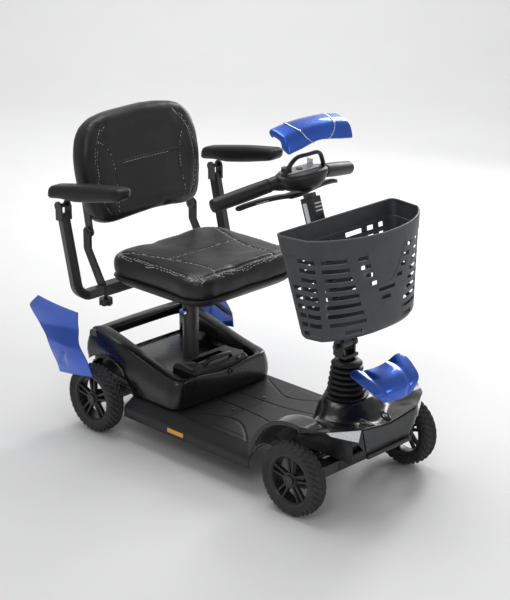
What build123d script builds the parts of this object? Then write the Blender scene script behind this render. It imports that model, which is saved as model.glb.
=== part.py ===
from build123d import *
import os
from math import cos, radians, sin, tan

"""Four-wheel mobility scooter. Millimetres; forward is -Y, the rider's left is +X, up is +Z.
The origin is on the ground, at the middle of the whole object's footprint."""

os.makedirs("parts", exist_ok=True)

# ---- driving dimensions ---------------------------------------------------------------
WHEEL_R = 100
TYRE_W = 50
RIM_R = 68
AXLE_R = 8
FRONT_Y = -418
REAR_Y = 347
FRONT_X = 220
REAR_X = 226
RUN = 0.05                      # radial running clearance

KINGPIN_X = 172
KINGPIN_R = 8
STEER_ARM = 45                  # length of each arm of the steering parallelogram
COLUMN_Y = -397
COLUMN_R = 15
TILT_Y, TILT_Z = -388, 400      # pivot of the tiller
TILLER_LEAN = 19.1              # degrees the tiller leans back
TILLER_TOP_Z = 778

DECK_Z = 127
DECK_HALF = 185
SKIRT_HALF = 223
SKIN = 4

BAY_Y = 114
BAY_SIZE = (216, 102)           # battery bay, across and along
PACK_TOP = 222

POST_Y = 193
POST_R, STEM_R = 22.5, 19
SEAT_HALF = 210
SEAT_FRONT_Y, SEAT_BACK_Y = -60, 330
SEAT_EDGE_Z, SEAT_TOP_Z = 468, 545
RECLINE = 10                    # degrees the backrest leans back
BACK_HINGE_Y, BACK_HINGE_Z = 392, 575

ARM_X = 288
ARM_BAR_Y, ARM_BAR_Z = 335, 420
ARM_TUBE = 25
PAD_PIVOT_Y, PAD_PIVOT_Z = 388, 672
PAD_LIFT = 10                   # degrees the arm pad points up

BASKET_TOP_Z, BASKET_FLOOR_Z = 737, 475
BASKET_WALL = 4

COVER_LIFT = (0, -25, 65)       # how far each loose cover stands off its home
NOSE_LIFT = (0, -18, 95)
SIDE_LIFT = (10, 85, 60)

SIDES = {"left": 1, "right": -1}


def keep(piece, name):
    """Label a finished piece and write its file."""
    piece.part.label = name
    export_step(piece.part, f"parts/{name}.step")


def lean(z):
    """Y of the tiller's centre line at height z."""
    return TILT_Y + (z - TILT_Z) * tan(radians(TILLER_LEAN))


def tiller_plane(z, forward=0, x=0):
    """Plane across the tiller at height z, its normal running up the tiller."""
    a = radians(TILLER_LEAN)
    origin = (x, lean(z) - forward * cos(a), z + forward * sin(a))
    return Plane(origin=origin, x_dir=(1, 0, 0), z_dir=(0, sin(a), cos(a)))


def across(x):
    """Plane across the scooter at x: its x runs back and its y runs up."""
    return Plane(origin=(x, 0, 0), x_dir=(0, 1, 0), z_dir=(1, 0, 0))


def level(z):
    """Horizontal plane at height z."""
    return Plane.XY.offset(z)


def bar(points, radius, bend):
    """A round bar along a line of points with rounded corners."""
    with BuildPart() as rod:
        with BuildLine() as route:
            FilletPolyline(*points, radius=bend)
        with BuildSketch(Plane(origin=route.line @ 0, z_dir=route.line % 0)):
            Circle(radius)
        sweep(path=route.line)
    return rod.part


# ---- chassis --------------------------------------------------------------------------
RAIL_X, RAIL_Z = 70, 92
TIP_Y, TIP_Z = 436, 36          # axle of the anti-tip wheels
with BuildPart() as frame_rails:
    with Locations((RAIL_X, -40, RAIL_Z), (-RAIL_X, -40, RAIL_Z)):
        Box(25, 640, 25)
    with Locations((0, -300, RAIL_Z), (0, -60, RAIL_Z), (0, 175, RAIL_Z)):
        Box(2 * RAIL_X, 25, 25)
    with Locations((0, POST_Y, 100)):
        Box(60, 54, 14)
    for side in (1, -1):
        with Locations((side * RAIL_X, 335, 66)):
            Box(20, 150, 13)
        with Locations((side * RAIL_X, 268, 76)):
            Box(20, 16, 8)
        with BuildSketch(across(side * RAIL_X - 3)):
            Polygon((385, 72), (430, 72), (448, 40), (436, 26), (418, 40), (385, 60), align=None)
        extrude(amount=6)
    with Locations(Location((0, TIP_Y, TIP_Z), (0, 90, 0))):
        Cylinder(6, 2 * RAIL_X + 50)
keep(frame_rails, "frame_rails")

BEAM_Z0, BEAM_Z1 = 75, 105
HEAD_Z0, HEAD_Z1 = 126, 182
with BuildPart() as front_axle_beam:
    with BuildSketch(level(BEAM_Z0)):
        with Locations((0, FRONT_Y)):
            Rectangle(2 * KINGPIN_X - 20, 36)
        with Locations((KINGPIN_X, FRONT_Y), (-KINGPIN_X, FRONT_Y)):
            Circle(14)
    extrude(amount=BEAM_Z1 - BEAM_Z0)
    with BuildSketch(level(BEAM_Z0)):
        with Locations((RAIL_X, -380), (-RAIL_X, -380)):
            Rectangle(25, 40)
    extrude(amount=12)
    with BuildSketch(level(BEAM_Z1)):
        with Locations((36, FRONT_Y - 6), (-36, FRONT_Y - 6)):
            Rectangle(10, 24)
    extrude(amount=HEAD_Z0 - BEAM_Z1)
    with BuildSketch(level(HEAD_Z0)):
        with Locations((0, FRONT_Y - 2)):
            Rectangle(82, 32)
        with Locations((0, COLUMN_Y)):
            Circle(24)
    extrude(amount=HEAD_Z1 - HEAD_Z0)
    with BuildSketch(level(HEAD_Z0)):
        with Locations((0, COLUMN_Y)):
            Circle(COLUMN_R + RUN)
    extrude(amount=HEAD_Z1 - HEAD_Z0, mode=Mode.SUBTRACT)
    with BuildSketch(level(BEAM_Z0)):
        with Locations((KINGPIN_X, FRONT_Y), (-KINGPIN_X, FRONT_Y)):
            Circle(KINGPIN_R + RUN)
    extrude(amount=BEAM_Z1 - BEAM_Z0, mode=Mode.SUBTRACT)
keep(front_axle_beam, "front_axle_beam")

FOOT_Y, FOOT_SIZE, FOOT_H = -140, (340, 160), 0.8      # raised field where the feet rest
with BuildPart() as floor_pan:
    outline = [(-SKIRT_HALF, 74), (-SKIRT_HALF, 105), (-DECK_HALF, DECK_Z),
               (DECK_HALF, DECK_Z), (SKIRT_HALF, 105), (SKIRT_HALF, 74)]
    inner = [(SKIRT_HALF - SKIN, 74), (SKIRT_HALF - SKIN, 103), (DECK_HALF - 1, DECK_Z - SKIN),
             (1 - DECK_HALF, DECK_Z - SKIN), (SKIN - SKIRT_HALF, 103), (SKIN - SKIRT_HALF, 74)]
    with BuildSketch(Plane.XZ.offset(-232)):
        Polygon(*outline, *inner, align=None)
    extrude(amount=232 + 258)
    with Locations((0, POST_Y, DECK_Z)):
        Cylinder(POST_R + 3, 20, mode=Mode.SUBTRACT)
    with Locations((0, BAY_Y, DECK_Z)):
        Box(BAY_SIZE[0] + 1, BAY_SIZE[1] + 1, 20, mode=Mode.SUBTRACT)
    with BuildSketch(level(DECK_Z)):
        with Locations((0, FOOT_Y)):
            Rectangle(*FOOT_SIZE)
    extrude(amount=FOOT_H)
keep(floor_pan, "floor_pan")

# ---- rear shroud, a shell open on top round the battery and the post -------------------
SHROUD_FRONT_Y, SHROUD_BACK_Y = 52, 420
WELL_Z = 186
with BuildPart() as rear_shroud:
    side_outer = [(SHROUD_FRONT_Y, DECK_Z + 1), (SHROUD_FRONT_Y + 6, 205), (390, 279),
                  (SHROUD_BACK_Y, 243), (395, 200), (395, DECK_Z + 1)]
    side_inner = [(SHROUD_FRONT_Y + 6, DECK_Z), (SHROUD_FRONT_Y + 12, 200), (389, 273),
                  (SHROUD_BACK_Y - 8, 242), (389, 202), (389, DECK_Z)]
    plan_outer = [(-168, SHROUD_FRONT_Y), (168, SHROUD_FRONT_Y), (190, 200), (190, 424),
                  (-190, 424), (-190, 200)]
    plan_inner = [(-163, SHROUD_FRONT_Y), (163, SHROUD_FRONT_Y), (185, 200), (185, 418),
                  (-185, 418), (-185, 200)]
    with BuildSketch(across(-200)):
        Polygon(*side_outer, align=None)
    extrude(amount=400)
    with BuildSketch(level(100)):
        Polygon(*plan_outer, align=None)
    extrude(amount=200, mode=Mode.INTERSECT)
    with BuildPart(mode=Mode.PRIVATE) as hollow:
        with BuildSketch(across(-200)):
            Polygon(*side_inner, align=None)
        extrude(amount=400)
        with BuildSketch(level(100)):
            Polygon(*plan_inner, align=None)
        extrude(amount=200, mode=Mode.INTERSECT)
    add(hollow.part, mode=Mode.SUBTRACT)
    with Locations((0, 202, WELL_Z)):
        Box(300, 280, 5)
    with Locations((152, 215, 158), (-152, 215, 158)):
        Box(5, 310, 60)
    with Locations((0, 213, 250)):
        Box(276, 298, 120, mode=Mode.SUBTRACT)
    with Locations((0, 405, 217)):
        Box(240, 90, 50, mode=Mode.SUBTRACT)
    with Locations((0, BAY_Y, WELL_Z)):
        Box(BAY_SIZE[0] + 1, BAY_SIZE[1] + 1, 40, mode=Mode.SUBTRACT)
    with Locations((0, POST_Y, WELL_Z)):
        Cylinder(POST_R + 3, 40, mode=Mode.SUBTRACT)
    for side in (1, -1):
        with Locations(Location((side * 180, REAR_Y, WHEEL_R), (0, 90, 0))):
            Cylinder(WHEEL_R + 14, 46, mode=Mode.SUBTRACT)
keep(rear_shroud, "rear_shroud")

RAIL_TOP = RAIL_Z + 12.5
with BuildPart() as battery_pack:
    with Locations((0, BAY_Y, (RAIL_TOP + PACK_TOP) / 2)):
        Box(BAY_SIZE[0] - 4, BAY_SIZE[1] - 4, PACK_TOP - RAIL_TOP - 0.6)
    fillet(battery_pack.edges().filter_by(Axis.Z), radius=12)
    chamfer(battery_pack.faces().sort_by(Axis.Z)[-1].edges(), length=10)
    with Locations((0, BAY_Y, PACK_TOP)):
        Box(110, 44, 50, mode=Mode.SUBTRACT)
    with Locations(Location((0, BAY_Y, 212), (0, 90, 0))):
        Cylinder(8, 112)
keep(battery_pack, "battery_pack")

with BuildPart() as controller:
    with Locations((0, 272, 148)):
        Box(110, 80, 40)
    with Locations((0, 272, 172)):
        with GridLocations(0, 14, 1, 5):
            Box(100, 4, 8)
keep(controller, "controller")

with BuildPart() as charger_socket:
    with Locations(Location((20, SHROUD_FRONT_Y + 3, 192), (90, 0, 0))):
        Cylinder(9, 4, align=(Align.CENTER, Align.CENTER, Align.MIN))
        Cylinder(6, 6, align=(Align.CENTER, Align.CENTER, Align.MIN), mode=Mode.SUBTRACT)
keep(charger_socket, "charger_socket")

with BuildPart() as body_screws:
    for side in (1, -1):
        for y, z in ((235, 147), (330, 228)):
            with Locations(Location((side * 190, y, z), (0, side * 90, 0))):
                Cylinder(5, 3, align=(Align.CENTER, Align.CENTER, Align.MIN))
        with Locations((side * 60, -40, DECK_Z), (side * 120, -235, DECK_Z)):
            Cylinder(6, 2, align=(Align.CENTER, Align.CENTER, Align.MIN))
keep(body_screws, "body_screws")

with BuildPart() as side_reflectors:
    for side in (1, -1):
        with Locations((side * (SKIRT_HALF + 2), -4, 96)):
            Box(4, 64, 13)
keep(side_reflectors, "side_reflectors")

with BuildPart() as anti_tip_wheels:
    for side in (1, -1):
        with Locations(Location((side * (RAIL_X + 14), TIP_Y, TIP_Z), (0, 90, 0))):
            Cylinder(28, 18)
            Cylinder(6 + RUN, 18, mode=Mode.SUBTRACT)
keep(anti_tip_wheels, "anti_tip_wheels")

# ---- drive -----------------------------------------------------------------------------
HUB_IN = 140                    # inboard end of the rear stub axles
with BuildPart() as transaxle:
    with Locations(Location((0, REAR_Y, WHEEL_R), (0, 90, 0))):
        Cylinder(26, 340)
        Cylinder(44, 80)
    for side in (1, -1):
        with Locations(Location((side * 160, REAR_Y, WHEEL_R), (0, 90, 0))):
            Cylinder(AXLE_R + RUN, 60, mode=Mode.SUBTRACT)
keep(transaxle, "transaxle")

with BuildPart() as drive_motor:
    with Locations(Location((0, REAR_Y - 44, 86), (90, 0, 0))):
        Cylinder(24, 60, align=(Align.CENTER, Align.CENTER, Align.MIN))
        Cylinder(26, 10, align=(Align.CENTER, Align.CENTER, Align.MIN))
    with Locations(Location((0, REAR_Y - 105, 86), (90, 0, 0))):
        Cylinder(20, 18, align=(Align.CENTER, Align.CENTER, Align.MIN))
keep(drive_motor, "drive_motor")

LEVER_X = 96
with BuildPart() as freewheel_lever:
    with Locations(Location((LEVER_X, REAR_Y, WHEEL_R), (0, 90, 0))):
        Cylinder(36, 8)
        Cylinder(26 + RUN, 8, mode=Mode.SUBTRACT)
    with Locations((LEVER_X, REAR_Y + 56, WHEEL_R + 4)):
        Box(8, 50, 14)
keep(freewheel_lever, "freewheel_lever")

# ---- wheels ----------------------------------------------------------------------------
SPOKES = 5


def tyre(x, y):
    """Tyre with rounded shoulders, on an axle along X."""
    with BuildPart() as ring:
        with BuildSketch(Plane.XY) as section:
            with Locations((0, (WHEEL_R + RIM_R) / 2)):
                RectangleRounded(TYRE_W, WHEEL_R - RIM_R, 13)
            with Locations((0, RIM_R + 6)):
                Rectangle(TYRE_W - 8, 12)
        revolve(axis=Axis.X)
    return Pos(x, y, WHEEL_R) * ring.part


def rim(x, y, side, bore, shaft):
    """Five double spokes between hub and rim, with a cap outside."""
    with BuildPart() as wheel:
        with BuildSketch(Plane.YZ.offset(-20)):
            Circle(RIM_R)
            Circle(RIM_R - 6, mode=Mode.SUBTRACT)
        extrude(amount=40)
        with BuildSketch(Plane.YZ.offset(-22)):
            Circle(20)
        extrude(amount=40)
        with BuildSketch(Plane.YZ.offset(4)):
            with PolarLocations(41, SPOKES):
                with Locations((0, 6), (0, -6)):
                    Rectangle(46, 7)
            Circle(21)
        extrude(amount=12)
        with BuildSketch(Plane.YZ.offset(16)):
            Circle(20)
        extrude(amount=5, taper=30)
        if bore:
            with BuildSketch(Plane.YZ.offset(-22)):
                Circle(AXLE_R + RUN)
            extrude(amount=bore, mode=Mode.SUBTRACT)
        if shaft:
            with BuildSketch(Plane.YZ.offset(-22 - shaft)):
                Circle(AXLE_R)
            extrude(amount=shaft)
    turned = wheel.part if side > 0 else mirror(wheel.part, about=Plane.YZ)
    return Pos(x, y, WHEEL_R) * turned


STUB_END = 12                   # how far the front stub reaches past the wheel's middle
for name, side in SIDES.items():
    for place, x, y in (("front", FRONT_X, FRONT_Y), ("rear", REAR_X, REAR_Y)):
        tyre_body = tyre(side * x, y)
        with BuildPart() as tyre_piece:
            add(tyre_body)
        keep(tyre_piece, f"tyre_{place}_{name}")
        bore, shaft = (22 + STUB_END + 1, 0) if place == "front" else (0, REAR_X - 22 - HUB_IN)
        rim_body = rim(side * x, y, side, bore, shaft)
        with BuildPart() as rim_piece:
            add(rim_body)
        keep(rim_piece, f"rim_{place}_{name}")

# ---- steering --------------------------------------------------------------------------
ARM_Z0, ARM_Z1 = 108, 118
for name, side in SIDES.items():
    kx = side * KINGPIN_X
    with BuildPart() as knuckle:
        with BuildSketch(level(64)):
            with Locations((kx, FRONT_Y)):
                Circle(KINGPIN_R)
        extrude(amount=52)
        for z in (64, 106):
            with BuildSketch(level(z)):
                with Locations((kx, FRONT_Y)):
                    Circle(13)
                with Locations((kx + side * 10, FRONT_Y)):
                    Rectangle(20, 26)
            extrude(amount=9)
        with Locations((side * 189, FRONT_Y, 89.5)):
            Box(5, 26, 51)
        with BuildSketch(level(ARM_Z0 - 2)):
            with Locations((kx, FRONT_Y + STEER_ARM / 2)):
                Rectangle(14, STEER_ARM)
            with Locations((kx, FRONT_Y + STEER_ARM)):
                Circle(9)
        extrude(amount=9)
        with BuildSketch(level(ARM_Z0 - 2)):
            with Locations((kx, FRONT_Y + STEER_ARM)):
                Circle(5 + RUN)
        extrude(amount=9, mode=Mode.SUBTRACT)
        with Locations(Location((side * 188, FRONT_Y, WHEEL_R), (0, side * 90, 0))):
            Cylinder(AXLE_R, FRONT_X - 188 + STUB_END, align=(Align.CENTER, Align.CENTER, Align.MIN))
    keep(knuckle, f"steering_knuckle_{name}")

ROD_Y = FRONT_Y + STEER_ARM
TAB_Y = COLUMN_Y + STEER_ARM
with BuildPart() as tie_rod:
    with BuildSketch(level(94)):
        with Locations((0, ROD_Y)):
            Rectangle(2 * KINGPIN_X, 10)
        with Locations((KINGPIN_X, ROD_Y), (-KINGPIN_X, ROD_Y)):
            Circle(9)
        with Locations((0, (ROD_Y + TAB_Y) / 2)):
            Rectangle(16, TAB_Y - ROD_Y)
        with Locations((0, TAB_Y)):
            Circle(9)
    extrude(amount=10)
    with BuildSketch(level(104)):
        with Locations((KINGPIN_X, ROD_Y), (-KINGPIN_X, ROD_Y), (0, TAB_Y)):
            Circle(5)
    extrude(amount=15)
keep(tie_rod, "tie_rod")

YOKE_Z = 372
with BuildPart() as steering_column:
    with BuildSketch(level(ARM_Z0)):
        with Locations((0, COLUMN_Y)):
            Circle(COLUMN_R)
    extrude(amount=YOKE_Z - ARM_Z0)
    with BuildSketch(level(ARM_Z0)):
        with Locations((0, COLUMN_Y + STEER_ARM / 2)):
            Rectangle(14, STEER_ARM)
        with Locations((0, COLUMN_Y + STEER_ARM)):
            Circle(10)
        with Locations((0, COLUMN_Y + STEER_ARM)):
            Circle(5 + RUN, mode=Mode.SUBTRACT)
    extrude(amount=9)
    with BuildSketch(level(HEAD_Z1 + 1)):
        with Locations((0, COLUMN_Y)):
            Circle(23)
    extrude(amount=8)
    with Locations((0, COLUMN_Y + 2, YOKE_Z)):
        Box(52, 36, 8)
    for side in (1, -1):
        with BuildSketch(across(side * 23 - 3)):
            with Locations((TILT_Y, (TILT_Z + YOKE_Z) / 2)):
                Rectangle(32, TILT_Z - YOKE_Z)
            with Locations((TILT_Y, TILT_Z)):
                Circle(16)
        extrude(amount=6)
    with Locations(Location((0, TILT_Y, TILT_Z), (0, 90, 0))):
        Cylinder(6, 80)
keep(steering_column, "steering_column")

BELLOWS_Z0, BELLOWS_Z1 = 264, 361
BELLOWS_R0, BELLOWS_R1 = 52, 40
FOLDS = 6
with BuildPart() as steering_bellows:
    pitch = (BELLOWS_Z1 - BELLOWS_Z0) / FOLDS
    outer = [(BELLOWS_R0 - 2, BELLOWS_Z0)]
    for i in range(FOLDS):
        crest = BELLOWS_R0 + (BELLOWS_R1 - BELLOWS_R0) * (i + 0.5) / FOLDS
        outer += [(crest, BELLOWS_Z0 + (i + 0.5) * pitch), (crest - 8, BELLOWS_Z0 + (i + 1) * pitch)]
    wall = [(r - 4, z) for r, z in reversed(outer)]
    with BuildSketch(Plane.XZ):
        Polygon(*outer, *wall, align=None)
    revolve(axis=Axis.Z)
    steering_bellows.part.position = (0, COLUMN_Y, 0)
keep(steering_bellows, "steering_bellows")

# ---- tiller ----------------------------------------------------------------------------
TUBE_Z0 = 424
with BuildPart() as tiller_tube:
    with BuildSketch(tiller_plane(TUBE_Z0)):
        Circle(17)
    extrude(amount=(TILLER_TOP_Z - TUBE_Z0) / cos(radians(TILLER_LEAN)))
    with BuildSketch(tiller_plane(TILT_Z)):
        Rectangle(26, 26)
    extrude(amount=30)
    with Locations(Location((0, TILT_Y, TILT_Z), (0, 90, 0))):
        Cylinder(14, 38)
        Cylinder(6 + RUN, 60, mode=Mode.SUBTRACT)
keep(tiller_tube, "tiller_tube")

SLEEVE_Z0, SLEEVE_Z1 = 560, 768
with BuildPart() as tiller_sleeve:
    with BuildSketch(tiller_plane(SLEEVE_Z0)):
        RectangleRounded(46, 42, 12)
        Circle(17, mode=Mode.SUBTRACT)
    extrude(amount=(SLEEVE_Z1 - SLEEVE_Z0) / cos(radians(TILLER_LEAN)))
keep(tiller_sleeve, "tiller_sleeve")

with BuildPart() as tiller_trim:
    for side in (1, -1):
        with BuildSketch(tiller_plane(SLEEVE_Z0 + 8)):
            with Locations((side * 24, 0)):
                Rectangle(2, 14)
        extrude(amount=200)
    for z in (732, 741, 750):
        with BuildSketch(tiller_plane(z)):
            with Locations((0, -22)):
                Rectangle(24, 2)
        extrude(amount=4)
keep(tiller_trim, "tiller_trim")

with BuildPart() as tilt_lever:
    with Locations(Location((35, TILT_Y, TILT_Z), (0, 90, 0))):
        Cylinder(12, 8)
        Cylinder(6 + RUN, 20, mode=Mode.SUBTRACT)
    with BuildSketch(across(31)):
        Polygon((TILT_Y - 10, TILT_Z - 6), (TILT_Y + 34, TILT_Z - 44), (TILT_Y + 42, TILT_Z - 36),
                (TILT_Y + 8, TILT_Z + 10), align=None)
        with Locations((TILT_Y, TILT_Z)):
            Circle(6 + RUN, mode=Mode.SUBTRACT)
    extrude(amount=8)
keep(tilt_lever, "tilt_lever")

HEAD = (0, -226, 812)           # middle of the console, where the handlebar crosses
GRIP_END = (256, -165, 778)
BAR_BEND = (84, -213, 812)
bar_halves = []
for side in (1, -1):
    corner = (side * BAR_BEND[0], *BAR_BEND[1:])
    tip = (side * GRIP_END[0], *GRIP_END[1:])
    bar_halves.append(bar([HEAD, corner, tip], 10, 40))
with BuildPart() as handlebar:
    add(bar_halves)
keep(handlebar, "handlebar")

with BuildPart() as grips:
    for side in (1, -1):
        start = Vector(side * BAR_BEND[0], *BAR_BEND[1:])
        end = Vector(side * GRIP_END[0], *GRIP_END[1:])
        run = (end - start).normalized()
        first = start + run * 38
        with BuildSketch(Plane(origin=first, z_dir=run)):
            Circle(17)
            Circle(10, mode=Mode.SUBTRACT)
        extrude(amount=(end - first).length)
        with BuildSketch(Plane(origin=end, z_dir=run)):
            Circle(17)
        extrude(amount=6, taper=35)
keep(grips, "grips")

arch_bar = bar([(-72, -238, 826), (-34, -250, 880), (34, -250, 880), (72, -238, 826)], 5, 16)
with BuildPart() as console_base:
    with BuildSketch(level(786)):
        with Locations((0, HEAD[1] - 4)):
            Ellipse(66, 34)
    with BuildSketch(level(830)):
        with Locations((0, HEAD[1] - 4)):
            Ellipse(84, 42)
    loft()
    with BuildSketch(level(830)):
        with Locations((0, HEAD[1] - 4)):
            Ellipse(80, 38)
    extrude(amount=5, taper=20)
    add(arch_bar)
    add(bar_halves, mode=Mode.SUBTRACT)
    with Locations((-44, HEAD[1] + 8, 836), (0, HEAD[1] + 4, 836), (44, HEAD[1] + 8, 836)):
        Cylinder(9.5, 14, mode=Mode.SUBTRACT)
keep(console_base, "console_base")

with BuildPart() as speed_dial:
    with BuildSketch(level(830.3)):
        with Locations((-44, HEAD[1] + 8)):
            Circle(9)
    extrude(amount=7)
    with BuildSketch(level(837.3)):
        with Locations((-44, HEAD[1] + 8)):
            RegularPolygon(14, 12)
    extrude(amount=10)
keep(speed_dial, "speed_dial")

with BuildPart() as ignition_key:
    with BuildSketch(level(830.3)):
        with Locations((44, HEAD[1] + 8)):
            Circle(9)
    extrude(amount=7)
    with Locations((44, HEAD[1] + 8, 846)):
        Box(3, 18, 18)
keep(ignition_key, "ignition_key")

with BuildPart() as horn_button:
    with BuildSketch(level(831.5)):
        with Locations((0, HEAD[1] + 4)):
            Circle(9)
    extrude(amount=7)
keep(horn_button, "horn_button")

PADDLE_Z = 764
with BuildPart() as throttle_paddle:
    with Locations((0, HEAD[1], 779)):
        Cylinder(7, 13)
    with BuildSketch(level(PADDLE_Z)):
        with Locations((0, HEAD[1] - 2)):
            Rectangle(92, 18)
    extrude(amount=9)
    for side in (1, -1):
        with BuildSketch(Plane(origin=(side * 40, HEAD[1] - 2, PADDLE_Z + 4), z_dir=(side, 0.2, -0.13))):
            Rectangle(9, 18)
        extrude(amount=120)
keep(throttle_paddle, "throttle_paddle")

# ---- basket ----------------------------------------------------------------------------
BASKET_TOP = (220, -349, -530)      # half width, back and front
BASKET_BOTTOM = (188, -405, -518)
BASKET_SIDE = 0.64              # share of the depth that the straight sides take


def basket_outline(half, back, front, inset):
    """Closed plan outline: straight back, straight sides and a bowed front."""
    w, b, f = half - inset, back - inset, front + inset
    side_y = b - (b - f) * BASKET_SIDE
    with BuildSketch() as outline:
        with BuildLine():
            Polyline((-w * 0.94, side_y), (-w, b), (w, b), (w * 0.94, side_y))
            ThreePointArc((w * 0.94, side_y), (0, f), (-w * 0.94, side_y))
        make_face()
    return outline.sketch


with BuildPart() as basket:
    for inset, drop, mode in ((0, 0, Mode.ADD), (BASKET_WALL, BASKET_WALL, Mode.SUBTRACT)):
        low, high = basket_outline(*BASKET_BOTTOM, inset), basket_outline(*BASKET_TOP, inset)
        with BuildSketch(level(BASKET_FLOOR_Z + drop)):
            add(low)
        with BuildSketch(level(BASKET_TOP_Z + drop / 4)):
            add(high)
        loft(mode=mode)
    for row in range(7):
        z = 530 + row * 24
        with Locations((0, -425 + row * 4, z)):
            Box(480, 66, 8, mode=Mode.SUBTRACT)
        with Locations((0, -380, z)):
            with GridLocations(116, 0, 3, 1):
                Box(76, 60, 8, mode=Mode.SUBTRACT)
        with Locations((104, -500, z), (-104, -500, z)):
            Box(50, 80, 8, mode=Mode.SUBTRACT)
keep(basket, "basket")

BRACKET_Z = 640
with BuildPart() as basket_bracket:
    with BuildSketch(tiller_plane(BRACKET_Z - 70)):
        with Locations((0, -29)):
            Rectangle(60, 6)
    extrude(amount=110)
    with BuildSketch(tiller_plane(BRACKET_Z - 70)):
        with Locations((0, -24)):
            Rectangle(30, 5)
    extrude(amount=110)
keep(basket_bracket, "basket_bracket")

# ---- seat ------------------------------------------------------------------------------
with BuildPart() as seat_post_tube:
    with Locations((0, POST_Y, 107)):
        Cylinder(POST_R, 258, align=(Align.CENTER, Align.CENTER, Align.MIN))
        Cylinder(STEM_R + RUN, 258, align=(Align.CENTER, Align.CENTER, Align.MIN), mode=Mode.SUBTRACT)
keep(seat_post_tube, "seat_post_tube")

with BuildPart() as seat_post_bolt:
    with Locations(Location((-POST_R - 0.1, POST_Y, 344), (0, -90, 0))):
        Cylinder(6, 10, align=(Align.CENTER, Align.CENTER, Align.MIN))
    with Locations(Location((-POST_R - 4, POST_Y, 344), (0, -90, 0))):
        Cylinder(11, 8, align=(Align.CENTER, Align.CENTER, Align.MIN))
keep(seat_post_bolt, "seat_post_bolt")

with BuildPart() as seat_stem:
    with Locations((0, POST_Y, 240)):
        Cylinder(STEM_R, 190, align=(Align.CENTER, Align.CENTER, Align.MIN))
        Cylinder(15, 190, align=(Align.CENTER, Align.CENTER, Align.MIN), mode=Mode.SUBTRACT)
keep(seat_stem, "seat_stem")

RECEIVER = 32
with BuildPart() as seat_frame:
    with Locations((0, POST_Y + 15, 434)):
        Box(240, 240, 8)
    with Locations((0, POST_Y, 392)):
        Cylinder(29, 39, align=(Align.CENTER, Align.CENTER, Align.MIN))
    with Locations((0, POST_Y, 390)):
        Cylinder(STEM_R + RUN, 40.5, align=(Align.CENTER, Align.CENTER, Align.MIN), mode=Mode.SUBTRACT)
    with Locations((0, ARM_BAR_Y, ARM_BAR_Z)):
        Box(400, RECEIVER, RECEIVER)
        Box(400, ARM_TUBE + 1, ARM_TUBE + 1, mode=Mode.SUBTRACT)
    for side in (1, -1):
        with Locations((side * 190, ARM_BAR_Y, ARM_BAR_Z - 18)):
            Cylinder(5 + RUN, 12, mode=Mode.SUBTRACT)
        with BuildSketch(across(side * 201 - 3)):
            with BuildLine():
                a = (ARM_BAR_Y - 14, ARM_BAR_Z + 16)
                b = (ARM_BAR_Y + 16, ARM_BAR_Z + 8)
                Polyline((BACK_HINGE_Y - 15, BACK_HINGE_Z), (BACK_HINGE_Y - 14, BACK_HINGE_Z - 45), a,
                         (ARM_BAR_Y - 14, ARM_BAR_Z - 14), (ARM_BAR_Y + 16, ARM_BAR_Z - 14), b,
                         (BACK_HINGE_Y + 15, BACK_HINGE_Z - 50), (BACK_HINGE_Y + 15, BACK_HINGE_Z),
                         close=True)
            make_face()
            with Locations((BACK_HINGE_Y, BACK_HINGE_Z)):
                Circle(15)
            with Locations((ARM_BAR_Y, ARM_BAR_Z)):
                Rectangle(ARM_TUBE + 1, ARM_TUBE + 1, mode=Mode.SUBTRACT)
        extrude(amount=6)
        with Locations(Location((side * 197, BACK_HINGE_Y, BACK_HINGE_Z), (0, 90, 0))):
            Cylinder(6, 18)
keep(seat_frame, "seat_frame")

with BuildPart() as seat_pan:
    with BuildSketch(level(438.3)):
        with Locations((0, 150)):
            RectangleRounded(300, 330, 40)
    with BuildSketch(level(SEAT_EDGE_Z)):
        with Locations((0, (SEAT_FRONT_Y + SEAT_BACK_Y) / 2)):
            RectangleRounded(2 * SEAT_HALF - 6, SEAT_BACK_Y - SEAT_FRONT_Y - 6, 60)
    loft()
keep(seat_pan, "seat_pan")

with BuildPart() as seat_cushion:
    with BuildSketch(level(SEAT_EDGE_Z + 0.3)):
        with Locations((0, (SEAT_FRONT_Y + SEAT_BACK_Y) / 2)):
            RectangleRounded(2 * SEAT_HALF, SEAT_BACK_Y - SEAT_FRONT_Y, 64)
    extrude(amount=SEAT_TOP_Z - SEAT_EDGE_Z - 8)
    fillet(seat_cushion.faces().sort_by(Axis.Z)[-1].edges(), radius=24)
keep(seat_cushion, "seat_cushion")

with BuildPart() as swivel_lever:
    with Locations((0, POST_Y, 400)):
        Cylinder(40, 8)
        Cylinder(29 + RUN, 8, mode=Mode.SUBTRACT)
    with BuildSketch(Plane(origin=(33, POST_Y, 398), x_dir=(0, 1, 0), z_dir=(0.75, 0, -0.66))):
        Rectangle(24, 8)
    extrude(amount=160)
keep(swivel_lever, "swivel_lever")


def reclined(along, forward=0, x=0):
    """Plane across the backrest, this far up from its hinge."""
    a = radians(RECLINE)
    origin = (x, BACK_HINGE_Y + along * sin(a) - forward * cos(a),
              BACK_HINGE_Z + along * cos(a) + forward * sin(a))
    return Plane(origin=origin, x_dir=(1, 0, 0), z_dir=(0, sin(a), cos(a)))


BACK_H = 302
BACK_START = 19                 # cushion's lower edge, up from the hinge
with BuildPart() as backrest_frame:
    for side in (1, -1):
        with BuildSketch(reclined(0, x=side * 192)):
            Rectangle(6, 26)
        extrude(amount=210)
        with Locations(Location((side * 192, BACK_HINGE_Y, BACK_HINGE_Z), (0, 90, 0))):
            Cylinder(15, 6)
            Cylinder(6 + RUN, 10, mode=Mode.SUBTRACT)
    with BuildSketch(reclined(60)):
        Rectangle(384, 6)
    extrude(amount=130)
keep(backrest_frame, "backrest_frame")

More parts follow.
